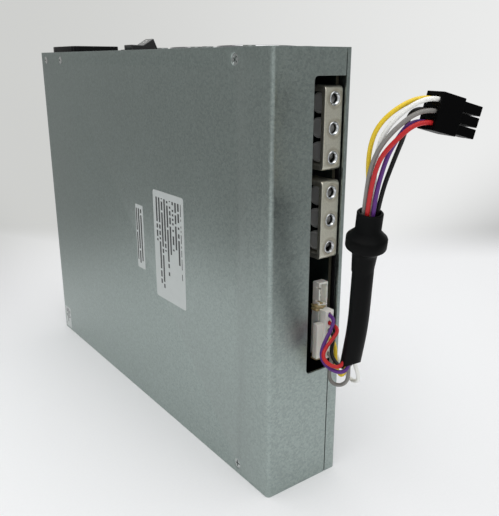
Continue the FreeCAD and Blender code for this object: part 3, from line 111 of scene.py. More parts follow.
def swung(tree, base, factor, spread):
    """A value raised and lowered by a factor that runs about 0.5."""
    return math_in(tree, "MULTIPLY_ADD", math_in(tree, "SUBTRACT", factor, 0.5), spread, base)


def tinted(tree, colour, factor, spread):
    """A colour made lighter and darker by a factor that runs about 0.5."""
    return vector_in(tree, "MULTIPLY", colour, swung(tree, 1.0, factor, spread))


def blended(tree, factor, first, second):
    """A mix of two colours, on the colour sockets of a Mix node."""
    return node_in(tree, "ShaderNodeMix", {0: factor, 6: first, 7: second}, data_type="RGBA").outputs[2]


def eased(tree, value, start, end):
    """A smooth step from 0 at the start to 1 at the end."""
    inputs = {0: value, 1: start, 2: end}
    return node_in(tree, "ShaderNodeMapRange", inputs, interpolation_type="SMOOTHSTEP").outputs[0]


def new_group(name, inputs, outputs):
    """A shader node group with named sockets: its tree, its inputs and its output node."""
    tree = bpy.data.node_groups.new(name, "ShaderNodeTree")
    for way, sockets in (("INPUT", inputs), ("OUTPUT", outputs)):
        for socket, kind in sockets.items():
            tree.interface.new_socket(name=socket, in_out=way, socket_type=f"NodeSocket{kind}")
    return tree, tree.nodes.new("NodeGroupInput").outputs, tree.nodes.new("NodeGroupOutput")


def new_material(name, values):
    """A material, its tree and its shader, with the shader's constant sockets set."""
    material = bpy.data.materials.new(name)
    material.use_nodes = True
    shader = material.node_tree.nodes["Principled BSDF"]
    for socket, value in values.items():
        shader.inputs[socket].default_value = value
    return material, material.node_tree, shader


def bumped(tree, shader, height, strength, depth):
    """Gives a shader the bumps of a height, with a depth in metres."""
    inputs = {"Height": height, "Strength": strength, "Distance": depth}
    tree.links.new(node_in(tree, "ShaderNodeBump", inputs).outputs[0], shader.inputs["Normal"])


def skinned(name, constants, group, values, bump, depth):
    """A material whose colour, roughness and bumps come from a group."""
    material, tree, shader = new_material(name, constants)
    skin = node_in(tree, "ShaderNodeGroup", values, node_tree=group).outputs
    tree.links.new(skin["Color"], shader.inputs["Base Color"])
    tree.links.new(skin["Roughness"], shader.inputs["Roughness"])
    bumped(tree, shader, skin["Height"], bump, depth)
    return material


def spangle_group():
    """Zinc crystals: each facet a little lighter or darker and smoother or rougher than the next."""
    sockets = {"Color": "Color", "Roughness": "Float", "Crystals": "Float", "Contrast": "Float"}
    tree, given, out = new_group("zinc_spangle", sockets, SKIN)
    place = tree.nodes.new("ShaderNodeTexCoord").outputs["Object"]
    bend = node_in(tree, "ShaderNodeTexNoise", {"Vector": place, "Scale": 700.0}).outputs["Color"]
    moved = vector_in(tree, "ADD", place, vector_in(tree, "MULTIPLY", bend, (MM, MM, MM)))
    cell = {"Vector": moved, "Scale": given["Crystals"]}
    facet = node_in(tree, "ShaderNodeTexVoronoi", cell).outputs["Color"]
    shade = node_in(tree, "ShaderNodeSeparateColor", {"Color": facet}).outputs["Red"]
    speck = noise_in(tree, place, scale=2600.0)
    haze = noise_in(tree, place, scale=16.0)
    crystals = tinted(tree, given["Color"], shade, given["Contrast"])
    specked = tinted(tree, crystals, speck, spread=0.50)
    rough = swung(tree, given["Roughness"], shade, spread=0.06)
    tree.links.new(tinted(tree, specked, haze, spread=0.14), out.inputs["Color"])
    tree.links.new(swung(tree, rough, haze, spread=0.16), out.inputs["Roughness"])
    tree.links.new(math_in(tree, "ADD", speck, shade), out.inputs["Height"])
    return tree


def zinc_finish(name, colour, roughness, crystals, contrast):
    """Zinc coated sheet."""
    values = {"Color": colour, "Roughness": roughness, "Crystals": crystals, "Contrast": contrast}
    return skinned(name, {"Metallic": 0.94}, spangle, values, bump=0.05, depth=0.1 * MM)


def piece(shape, name, finish, body=SUPPLY):
    """Makes a finished bmesh a piece of the object, riding on a body."""
    for face in shape.faces:
        face.smooth = True
    for edge in shape.edges:
        edge.smooth = not edge.seam and edge.calc_face_angle(0) < SHARP
    mesh = bpy.data.meshes.new(name)
    shape.to_mesh(mesh)
    shape.free()
    # A copy of a node's mesh still has the node's own normals.
    if "custom_normal" in mesh.attributes:
        mesh.attributes.remove(mesh.attributes["custom_normal"])
    mesh.materials.clear()
    mesh.materials.append(finish)
    made = bpy.data.objects.new(name, mesh)
    collection.objects.link(made)
    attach(made, body)
    return made


def soften(shape, edges, size, segments=2):
    """Rounds some edges of a shape. The flat faces beside them keep their own shading."""
    result = bmesh.ops.bevel(
        shape, geom=edges, offset=size, offset_type="OFFSET", segments=segments, profile=0.5,
        affect="EDGES", clamp_overlap=False, material=-1,
    )
    rounded = set(result["faces"])
    for edge in {e for face in rounded for e in face.edges}:
        edge.seam = not rounded.issuperset(edge.link_faces)


def dressed(name, finish, edge, segments=2, refit=None):
    """A node's own shape with its sharp edges broken, standing for it. A refit moves its points first."""
    shape = bmesh.new()
    shape.from_mesh(nodes[name].data)
    bmesh.ops.remove_doubles(shape, verts=shape.verts[:], dist=TOUCH)
    bmesh.ops.dissolve_limit(shape, angle_limit=FLAT, verts=shape.verts[:], edges=shape.edges[:])
    if refit:
        for v in shape.verts:
            v.co = refit(v.co)
        bmesh.ops.remove_doubles(shape, verts=shape.verts[:], dist=TOUCH)
    sharp = [e for e in shape.edges if e.is_manifold and e.calc_face_angle() > SHARP]
    soften(shape, sharp, edge, segments)
    made = piece(shape, f"{name}_dressed", finish, nodes[name]["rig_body"])
    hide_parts(name)
    return made


def painted(name, finish):
    """A node that keeps its own shape and gets a finish."""
    for slot in nodes[name].material_slots:
        slot.material = finish


def solids_of(name):
    """The lowest and highest corner of each solid in a node, from its loose parts, in a fixed order."""
    shape = bmesh.new()
    shape.from_mesh(nodes[name].data)
    bmesh.ops.remove_doubles(shape, verts=shape.verts[:], dist=TOUCH)
    left = set(shape.verts)
    found = []
    while left:
        todo = [left.pop()]
        seen = []
        while todo:
            v = todo.pop()
            seen.append(v.co.copy())
            near = {e.other_vert(v) for e in v.link_edges} & left
            left -= near
            todo += near
        found.append((Vector(map(min, zip(*seen))), Vector(map(max, zip(*seen)))))
    shape.free()
    return sorted(found, key=lambda box: [round(c / TOUCH) for c in box[0]])


def widened_sinks(point):
    """Moves the rim of each countersink outwards, to the width of the real one."""
    for low, high in screw_boxes:
        middle = (low + high) / 2
        face = low.x if middle.x < 0 else high.x
        out = Vector((0, point.y - middle.y, point.z - middle.z))
        if abs(point.x - face) < 2 * TOUCH and out.length < SINK_RADIUS:
            return Vector((point.x, middle.y, middle.z)) + out.normalized() * SINK_RADIUS
    return point


spangle = spangle_group()
sheet_zinc = zinc_finish("sheet_zinc", ZINC, roughness=0.36, crystals=1000.0, contrast=0.22)
panel_zinc = zinc_finish("panel_zinc", PANEL_ZINC, roughness=0.34, crystals=1000.0, contrast=0.22)
screw_boxes = solids_of("case_screws")
for name in ("main_case", "case_cover"):
    dressed(name, sheet_zinc, SHEET_EDGE, refit=widened_sinks)
for name in ("inlet_panel", "vent_panel"):
    painted(name, panel_zinc)

# Case screws and rivets: zinc plated countersunk heads with a cross recess, turned as they were driven home
# and a little below the sheet, and two blind rivets with a low dome and the hole of their pulled stem.
HEAD_CELLS = 9
CROSS_REACH = 0.6
CROSS_DEEP = 0.75 * MM
CROSS_TAPER = 0.72
HEAD_SKIRT = 0.6 * MM
HEAD_FOOT = 0.8
HEAD_SUNK = 0.7 * MM
HEAD_GAP = 0.5 * MM
HEAD_EDGE = 0.2 * MM
HEAD_TURN = 0.9
RIVET_DEEP = 0.8 * MM
RIVET_PROUD = 0.5 * MM
RIVET_STEM = 0.28
RIVET_DOME = (0.3, 0.5, 0.7, 0.85, 0.95, 1.0)
BROAD_GRAIN = 0.06


def grain_group():
    """Fine unevenness of a finish: its tone, gloss and height change a little over the surface."""
    sockets = {"Color": "Color", "Roughness": "Float", "Grain": "Float", "Tone": "Float", "Gloss": "Float"}
    tree, given, out = new_group("fine_grain", sockets, SKIN)
    place = tree.nodes.new("ShaderNodeTexCoord").outputs["Object"]
    fine = noise_in(tree, place, given["Grain"], detail=5.0)
    broad = noise_in(tree, place, math_in(tree, "MULTIPLY", given["Grain"], BROAD_GRAIN))
    both = math_in(tree, "MULTIPLY", math_in(tree, "ADD", fine, broad), 0.5)
    tree.links.new(tinted(tree, given["Color"], both, given["Tone"]), out.inputs["Color"])
    tree.links.new(swung(tree, given["Roughness"], broad, given["Gloss"]), out.inputs["Roughness"])
    tree.links.new(fine, out.inputs["Height"])
    return tree


def grained(name, colour, roughness, grain=900.0, tone=0.3, gloss=0.2, bump=0.1, depth=0.1, **constants):
    """A finish with fine grain, its depth in millimetres. Constants are sockets of the shader."""
    sockets = {socket.replace("_", " "): value for socket, value in constants.items()}
    values = {"Color": (*colour, 1), "Roughness": roughness, "Grain": grain, "Tone": tone, "Gloss": gloss}
    return skinned(name, sockets, fine_grain, values, bump, depth * MM)


def moved_verts(result):
    """The vertices that an extrude made."""
    return [v for v in result["geom"] if isinstance(v, bmesh.types.BMVert)]


def cross_head(radius, skirt, foot, edge):
    """A screw head that faces +Z at the origin: a disc with a cross sunk in it, drawn down to its foot."""
    shape = bmesh.new()
    bmesh.ops.create_grid(shape, x_segments=HEAD_CELLS, y_segments=HEAD_CELLS, size=1.0)
    cross = []
    for face in shape.faces:
        near, far = sorted(abs(c) for c in face.calc_center_median().xy)
        if near < 1.0 / HEAD_CELLS and far < CROSS_REACH:
            cross.append(face)
    # The square grid becomes a round disc.
    for v in shape.verts:
        x, y, _ = v.co
        v.co.xy = radius * x * math.sqrt(1 - y * y / 2), radius * y * math.sqrt(1 - x * x / 2)
    floor = moved_verts(bmesh.ops.extrude_face_region(shape, geom=cross))
    bmesh.ops.translate(shape, verts=floor, vec=(0, 0, -CROSS_DEEP))
    bmesh.ops.scale(shape, verts=floor, vec=(CROSS_TAPER, CROSS_TAPER, 1))
    bmesh.ops.delete(shape, geom=[face for face in cross if face.is_valid], context="FACES")
    rim = [e for e in shape.edges if e.is_boundary]
    low = moved_verts(bmesh.ops.extrude_edge_only(shape, edges=rim))
    bmesh.ops.translate(shape, verts=low, vec=(0, 0, -skirt))
    bmesh.ops.scale(shape, verts=low, vec=(foot / radius, foot / radius, 1))
    soften(shape, rim, edge)
    bmesh.ops.recalc_face_normals(shape, faces=shape.faces[:])
    return shape


def lathe(profile, steps=48):
    """A profile of (radius, height) points turned about Z."""
    shape = bmesh.new()
    spots = [shape.verts.new((radius, 0, height)) for radius, height in profile]
    lines = [shape.edges.new(pair) for pair in zip(spots, spots[1:])]
    bmesh.ops.spin(
        shape, geom=spots + lines, cent=(0, 0, 0), axis=(0, 0, 1), angle=2 * math.pi, steps=steps,
        use_merge=True,
    )
    bmesh.ops.remove_doubles(shape, verts=shape.verts[:], dist=TOUCH)
    bmesh.ops.recalc_face_normals(shape, faces=shape.faces[:])
    return shape


def facing(point, way, turn=0.0):
    """The matrix that moves +Z at the origin to a point and a direction."""
    track = Vector(way).to_track_quat("Z", "Y").to_matrix().to_4x4()
    return Matrix.Translation(point) @ track @ Matrix.Rotation(turn, 4, "Z")


def gathered(placed):
    """Several small shapes, each with its place, in one mesh."""
    whole = bmesh.new()
    for shape, place in placed:
        bmesh.ops.transform(shape, matrix=place, verts=shape.verts[:])
        part = bpy.data.meshes.new("part")
        shape.to_mesh(part)
        shape.free()
        whole.from_mesh(part)
        bpy.data.meshes.remove(part)
    return whole


fine_grain = grain_group()
screw_zinc = grained("screw_zinc", (0.50, 0.53, 0.52), 0.26, grain=1500, tone=0.35, Metallic=0.95)
rivet_metal = grained("rivet_metal", (0.74, 0.75, 0.74), 0.2, grain=1200, tone=0.2, Metallic=1.0)
heads = []
for number, (low, high) in enumerate(screw_boxes):
    middle = (low + high) / 2
    radius = SINK_RADIUS - HEAD_GAP
    face, side = (low.x + HEAD_SUNK, -1) if middle.x < 0 else (high.x - HEAD_SUNK, 1)
    place = facing((face, middle.y, middle.z), (side, 0, 0), HEAD_TURN * number)
    heads.append((cross_head(radius, HEAD_SKIRT, HEAD_FOOT * radius, HEAD_EDGE), place))
case_heads = piece(gathered(heads), "case_screw_heads", screw_zinc)
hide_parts("case_screws")
heads = []
for low, high in solids_of("panel_rivets"):
    middle = (low + high) / 2
    radius = (high.y - low.y) / 2
    outline = [(0, -RIVET_DEEP), (RIVET_STEM * radius, -RIVET_DEEP)]
    for along in RIVET_DOME:
        outline.append((along * radius, RIVET_PROUD * (1 - along**2)))
    outline.append((HEAD_FOOT * radius, -HEAD_SKIRT))
    heads.append((lathe(outline, steps=28), facing((low.x, middle.y, middle.z), (-1, 0, 0))))
rivet_heads = piece(gathered(heads), "rivet_heads", rivet_metal)
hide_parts("panel_rivets")

# Labels: three stickers of thin, slightly glossy film with round corners, stuck on the near face. LABELS
# gives the lowest and highest corner in Y and Z and their radius, in millimetres. PRINT gives the dashes on
# them: the pitch of the rows, in millimetres, the share that is inked and how far the shortest row reaches.
LABEL_THICK = 0.08 * MM
LABELS = {
    "rating_label": ((-59.7, 73.8), (-27.4, 135.0), 1.5),
    "strip_label": ((-14.4, 85.0), (-5.1, 123.0), 0.6),
    "corner_label": ((117.5, 1.5), (128.0, 18.0), 0.6),
}
PRINT = {
    "rating_label": {"row": 2.9, "share": 0.76, "reach": 0.40},
    "strip_label": {"row": 2.7, "share": 0.92, "reach": 0.80},
    "corner_label": {"row": 2.0, "share": 0.70, "reach": 0.40},
}
FILM = (0.515, 0.550, 0.538)
INK = (0.02, 0.021, 0.021, 1)
WORD = 1.2 * MM
DASH_HIGH = 0.55
PRINT_TOP = 0.44
PRINT_SIDE = 0.42
LONGEST = 0.9
near_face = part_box("main_case")[0].x


def label_finish(name, middle, size, row, share, reach):
    """Pale film with lines of dark dashes, each line of its own length, inside a clear margin."""
    gloss = {"Roughness": 0.38, "Coat Weight": 0.25, "Coat Roughness": 0.2}
    material, tree, shader = new_material(name, gloss)
    place = tree.nodes.new("ShaderNodeTexCoord").outputs["Object"]
    centre = {"Vector": place, "Location": (0, -middle[0], -middle[1])}
    centred = node_in(tree, "ShaderNodeMapping", centre).outputs[0]
    spot = node_in(tree, "ShaderNodeSeparateXYZ", {"Vector": centred}).outputs
    lines = math_in(tree, "DIVIDE", spot["Y"], row * MM)
    number = math_in(tree, "FLOOR", lines)
    words = math_in(tree, "FLOOR", math_in(tree, "DIVIDE", spot["Z"], WORD))
    cell = node_in(tree, "ShaderNodeCombineXYZ", {"X": words, "Y": number}).outputs[0]
    chance = node_in(tree, "ShaderNodeTexWhiteNoise", {"Vector": cell}).outputs["Value"]
    random = node_in(tree, "ShaderNodeTexWhiteNoise", {"W": number}, noise_dimensions="1D")
    shortest = reach * size[1]
    spare = (LONGEST - reach) * size[1]
    extent = math_in(tree, "MULTIPLY_ADD", random.outputs["Value"], spare, shortest)
    down = math_in(tree, "SUBTRACT", PRINT_TOP * size[1], spot["Z"])
    limits = [
        (chance, share),
        (math_in(tree, "FRACT", lines), DASH_HIGH),
        (math_in(tree, "ABSOLUTE", spot["Y"]), PRINT_SIDE * size[0]),
        (down, extent),
        (math_in(tree, "MULTIPLY", down, -1.0), 0.0),
    ]
    ink = 1.0
    for value, limit in limits:
        ink = math_in(tree, "MULTIPLY", ink, math_in(tree, "LESS_THAN", value, limit))
    film = tinted(tree, FILM, noise_in(tree, place, scale=260.0), spread=0.10)
    tree.links.new(blended(tree, ink, film, INK), shader.inputs["Base Color"])
    return material


for name, (low, high, corner) in LABELS.items():
    size = [(b - a) * MM for a, b in zip(low, high)]
    middle = [(b + a) / 2 * MM for a, b in zip(low, high)]
    shape = bmesh.new()
    bmesh.ops.create_cube(shape, size=1.0)
    bmesh.ops.scale(shape, verts=shape.verts[:], vec=(LABEL_THICK, *size))
    bmesh.ops.translate(shape, verts=shape.verts[:], vec=(near_face - LABEL_THICK / 2, *middle))
    posts = [e for e in shape.edges if abs(e.verts[0].co.x - e.verts[1].co.x) > LABEL_THICK / 2]
    soften(shape, posts, corner * MM, segments=5)
    film = label_finish(f"{name}_film", middle, size, **PRINT[name])
    piece(shape, name, film)

# Board: a laminate with a dark solder mask that stands on threaded pillars over an insulating sheet.
# Its cut edge shows the bare laminate along the window.
MASK = (0.005, 0.009, 0.008)
LAMINATE = (0.036, 0.033, 0.022)
EDGE_SHOWN = 0.15 * MM
board_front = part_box("main_board")[0].y


def laminate_finish():
    """Dark mask with faint tracks, and tan glass laminate where the front edge was cut."""
    material, tree, shader = new_material("board_mask", {"Specular IOR Level": 0.3})
    place = tree.nodes.new("ShaderNodeTexCoord").outputs["Object"]
    pattern = {"Vector": place, "Scale": 260.0, "Mortar Size": 0.06}
    tracks = node_in(tree, "ShaderNodeTexBrick", pattern).outputs["Fac"]
    glass = noise_in(tree, place, scale=2600.0)
    back = node_in(tree, "ShaderNodeSeparateXYZ", {"Vector": place}).outputs["Y"]
    bare = math_in(tree, "LESS_THAN", back, board_front + EDGE_SHOWN)
    mask = tinted(tree, MASK, tracks, spread=1.4)
    cut = tinted(tree, LAMINATE, glass, spread=0.5)
    tree.links.new(blended(tree, bare, mask, cut), shader.inputs["Base Color"])
    tree.links.new(swung(tree, base=0.425, factor=glass, spread=0.25), shader.inputs["Roughness"])
    return material


board_mask = laminate_finish()
black_film = grained("black_film", (0.012, 0.012, 0.013), 0.5, grain=700, bump=0.15, Specular_IOR_Level=0.2)
for name in ("main_board", "control_board"):
    painted(name, board_mask)
painted("insulation_sheet", black_film)
for name in ("board_standoffs", "board_screws"):
    painted(name, screw_zinc)

# Output bars: thick copper plate bent to a U and nickel plated, warm in tone and stained round the holes.
# A round steel insert with an M5 thread is pressed flush into each hole. Painted shade darkens each thread
# towards the back of its bore.
BAR_EDGE = 0.45 * MM
BAR_PLATE = 2.5 * MM
BEND_MADE = 3.2 * MM
BEND_TIGHT = 2.1 * MM
HOLE_REACH = 3.1 * MM
NICKEL = (0.71, 0.695, 0.59)
STAIN = (0.54, 0.51, 0.415)
STAIN_FROM = 5.9 * MM
STAIN_TO = 4.6 * MM
STAIN_RAGGED = 1.6 * MM
STAIN_DULL = 0.12
BORE = 2.25 * MM
LEAD_IN = 0.25 * MM
THREAD = 0.8 * MM
THREAD_DEEP = 0.42 * MM
INSERT_EDGE = 0.15 * MM
RIM_STEEL = (0.66, 0.68, 0.69)
# The painted shade deep in the bore of each insert: its colour, and the depths behind the front where it
# begins and where it is full.
BORE_PAINTED_SHADE = (0.075, 0.072, 0.066)
BORE_LIT = 0.3 * MM
BORE_DARK = 2.4 * MM
BARS = ("busbar_upper", "busbar_lower")


def plated_bar_finish(name, holes):
    """Warm nickel with a darker ring round each hole, and fine scuffs."""
    material, tree, shader = new_material(name, {"Metallic": 0.9})
    place = tree.nodes.new("ShaderNodeTexCoord").outputs["Object"]
    wander = noise_in(tree, place, scale=330.0, detail=4.0)
    fine = noise_in(tree, place, scale=1600.0, detail=5.0)
    level = vector_in(tree, "MULTIPLY", place, (1, 0, 1))
    stain = 0.0
    for hole in holes:
        away = vector_in(tree, "DISTANCE", level, (hole.x, 0, hole.z))
        ragged = math_in(tree, "MULTIPLY_ADD", wander, STAIN_RAGGED, away)
        stain = math_in(tree, "MAXIMUM", stain, eased(tree, ragged, STAIN_FROM, STAIN_TO))
    bright = tinted(tree, NICKEL, fine, spread=0.5)
    stain_and_bore_shade = tinted(tree, STAIN, wander, spread=0.5)
    rough = swung(tree, base=0.35, factor=fine, spread=0.22)
    tree.links.new(blended(tree, stain, bright, stain_and_bore_shade), shader.inputs["Base Color"])
    tree.links.new(math_in(tree, "MULTIPLY_ADD", stain, STAIN_DULL, rough), shader.inputs["Roughness"])
    bumped(tree, shader, fine, strength=0.12, depth=0.05 * MM)
    return material


def threaded_finish(front):
    """Bright steel at the rim of an insert, with painted shade that darkens it down its thread."""
    material, tree, shader = new_material("threaded_steel", {"Metallic": 1.0})
    place = tree.nodes.new("ShaderNodeTexCoord").outputs["Object"]
    back = node_in(tree, "ShaderNodeSeparateXYZ", {"Vector": place}).outputs["Y"]
    # Painted shade: the colour of the insert turns darker with depth in its bore, where the inside lies in
    # shade.
    deep = eased(tree, back, front + BORE_LIT, front + BORE_DARK)
    fine = noise_in(tree, place, scale=1400.0, detail=5.0)
    bright = tinted(tree, RIM_STEEL, fine, spread=0.3)
    stain_and_bore_shade = tinted(tree, BORE_PAINTED_SHADE, fine, spread=0.5)
    tree.links.new(blended(tree, deep, bright, stain_and_bore_shade), shader.inputs["Base Color"])
    tree.links.new(swung(tree, base=0.22, factor=fine, spread=0.2), shader.inputs["Roughness"])
    return material


def tight_bends(low, high, holes):
    """A refit that gives a bar the smaller bends of the real one, and keeps the rims of its holes flat."""

    def move(point):
        for hole in holes:
            if math.hypot(point.x - hole.x, point.z - hole.z) < HOLE_REACH:
                return Vector((point.x, low.y, point.z)) if point.y < low.y + BAR_PLATE / 2 else point
        for end, way in ((high.z, 1), (low.z, -1)):
            ahead = low.y + BEND_MADE - point.y
            up = way * (point.z - end) + BEND_MADE
            away = math.hypot(ahead, up)
            if min(ahead, up) < -TOUCH or away < TOUCH:
                continue
            if away < BEND_MADE - BAR_PLATE / 2:
                return Vector((point.x, low.y + BAR_PLATE, end - way * BAR_PLATE))
            back = BEND_TIGHT * (1 - ahead / away)
            down = BEND_TIGHT * (1 - up / away)
            return Vector((point.x, low.y + back, end - way * down))
        return point

    return move


insert_boxes = solids_of("terminal_nuts")
insert_middles = [(low + high) / 2 for low, high in insert_boxes]
for name in BARS:
    low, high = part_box(name)
    holes = [middle for middle in insert_middles if low.z < middle.z < high.z]
    finish = plated_bar_finish(f"{name}_nickel", holes)
    dressed(name, finish, BAR_EDGE, segments=3, refit=tight_bends(low, high, holes))
threaded_steel = threaded_finish(insert_boxes[0][0].y)
inserts = []
for (low, high), middle in zip(insert_boxes, insert_middles):
    deep = high.y - low.y
    rim = (high.x - low.x) / 2
    outline = [(BORE + LEAD_IN, 0)]
    for turn in range(int((deep - LEAD_IN) / THREAD)):
        crest = LEAD_IN + turn * THREAD
        outline += [(BORE, -crest), (BORE + THREAD_DEEP, -crest - THREAD / 2)]
    outline += [(BORE, -deep), (rim, -deep), (rim, -INSERT_EDGE), (rim - INSERT_EDGE, 0), outline[0]]
    inserts.append((lathe(outline, steps=40), facing((middle.x, low.y, middle.z), (0, -1, 0))))
threaded_inserts = piece(gathered(inserts), "threaded_inserts", threaded_steel)
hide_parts("terminal_nuts")

# Output capacitors: low cans in grey shrunk sleeves, standing on the board behind the bars, three to a bar.
# Each has a rolled groove above its foot and a rounded shoulder round its sunk top.
CAN_RADIUS = 4.6 * MM
CAN_LONG = 6.2 * MM
CAN_PITCH = 10.7 * MM
CAN_BACK = 7.2 * MM
GROOVE = 0.4 * MM
GROOVE_UP = 1.3 * MM
SHOULDER = 1.0 * MM
SHOULDER_STEPS = 5
TOP_BEAD = 0.3 * MM
TOP_SUNK = 0.25 * MM
can_sleeve = grained("can_sleeve", (0.42, 0.42, 0.41), 0.34, grain=500, tone=0.5, Specular_IOR_Level=0.6)
board_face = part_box("main_board")[0].x
outline = [(0, 0), (CAN_RADIUS, 0), (CAN_RADIUS, GROOVE_UP - GROOVE)]
outline += [(CAN_RADIUS - GROOVE, GROOVE_UP), (CAN_RADIUS, GROOVE_UP + GROOVE)]
for step in range(SHOULDER_STEPS + 1):
    lean = math.pi / 2 * step / SHOULDER_STEPS
    spread = CAN_RADIUS - SHOULDER + SHOULDER * math.cos(lean)
    outline.append((spread, CAN_LONG - SHOULDER + SHOULDER * math.sin(lean)))
outline += [(CAN_RADIUS - SHOULDER - TOP_BEAD, CAN_LONG - TOP_SUNK), (0, CAN_LONG - TOP_SUNK)]
cans = []
for name in BARS:
    low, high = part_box(name)
    for step in (-1, 0, 1):
        foot = (board_face, low.y + CAN_BACK, (low.z + high.z) / 2 + step * CAN_PITCH)
        cans.append((lathe(outline, steps=40), facing(foot, (-1, 0, 0))))
output_cans = piece(gathered(cans), "output_cans", can_sleeve)
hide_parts("output_capacitors")
painted("bulk_capacitors", can_sleeve)

# Headers and harness plug: natural nylon mouldings, slightly yellow and translucent, with tinned contacts.
# The plug has a long proud latch on its near side. Dabs of tan glue hold the headers to the board.
NYLON_EDGE = 0.22 * MM
PIN_EDGE = 0.06 * MM
MOULDED = {
    "spare_header": ((11.2, -126.5, 89.7), (16.8, -122.0, 101.7)),
    "harness_header": ((11.4, -126.5, 64.1), (16.8, -121.5, 89.3)),
    "harness_plug": ((9.9, -131.5, 64.45), (16.45, -122.6, 88.95)),
    "spare_header_pins": ((13.68, -124.6, 91.38), (14.32, -123.0, 100.02)),
}
LATCH_DEEP = 2.3 * MM
LATCH_NEAR = 1.0 * MM
LATCH_FACE = 7.4 * MM
LATCH_TOP = 82.6 * MM
GLUE_DABS = {
    "glue_upper": ((12.6, -124.5, 89.3), (3.4, 3.0, 2.0)),
    "glue_lower": ((14.4, -124.1, 63.5), (4.2, 2.8, 2.4)),
}
LUMP = 0.16
RIPPLE = 0.12
nylon = grained(
    "nylon", (0.76, 0.745, 0.69), 0.42, grain=600, tone=0.16, bump=0.05, Subsurface_Weight=0.12,
    Subsurface_Scale=2 * MM,
)
tin = grained("tin", (0.56, 0.55, 0.51), 0.28, grain=1600, tone=0.25, Metallic=1.0)
glue = grained(
    "glue", (0.36, 0.28, 0.14), 0.35, grain=500, tone=0.5, bump=0.3, depth=0.3, Subsurface_Weight=0.15,
    Subsurface_Scale=2 * MM,
)


def into_box(name):
    """A refit that brings a node's shape into its box, given in millimetres."""
    old_low, old_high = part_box(name)
    low, high = MOULDED[name]

    def move(point):
        share = [(p - a) / (b - a) for p, a, b in zip(point, old_low, old_high)]
        return Vector([(a + (b - a) * s) * MM for a, b, s in zip(low, high, share)])

    return move


def with_latch(point):
    """The refit of the harness plug, with its latch made longer and prouder."""
    moved = plug_moved(point)
    on_latch = point.x < plug_low.x + LATCH_DEEP
    if on_latch and abs(point.z - (plug_low.z + plug_high.z) / 2) < LATCH_NEAR:
        moved.z = LATCH_TOP
    if point.x < plug_low.x + TOUCH:
        moved.x = LATCH_FACE
    return moved


for name in ("spare_header", "harness_header"):
    dressed(name, nylon, NYLON_EDGE, refit=into_box(name))
plug_low, plug_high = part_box("harness_plug")
plug_moved = into_box("harness_plug")
harness_plug = dressed("harness_plug", nylon, NYLON_EDGE, refit=with_latch)
dressed("spare_header_pins", tin, PIN_EDGE, refit=into_box("spare_header_pins"))
for name, (middle, size) in GLUE_DABS.items():
    shape = bmesh.new()
    bmesh.ops.create_icosphere(shape, subdivisions=4, radius=1.0)
    for v in shape.verts:
        lump = LUMP * math.sin(5.1 * v.co.x + 1.3) * math.sin(4.3 * v.co.y)
        ripple = RIPPLE * math.sin(6.7 * v.co.z + 2.1 * v.co.x)
        v.co *= 1 + lump + ripple
    bmesh.ops.scale(shape, verts=shape.verts[:], vec=Vector(size) * MM)
    bmesh.ops.translate(shape, verts=shape.verts[:], vec=Vector(middle) * MM)
    piece(shape, name, glue)
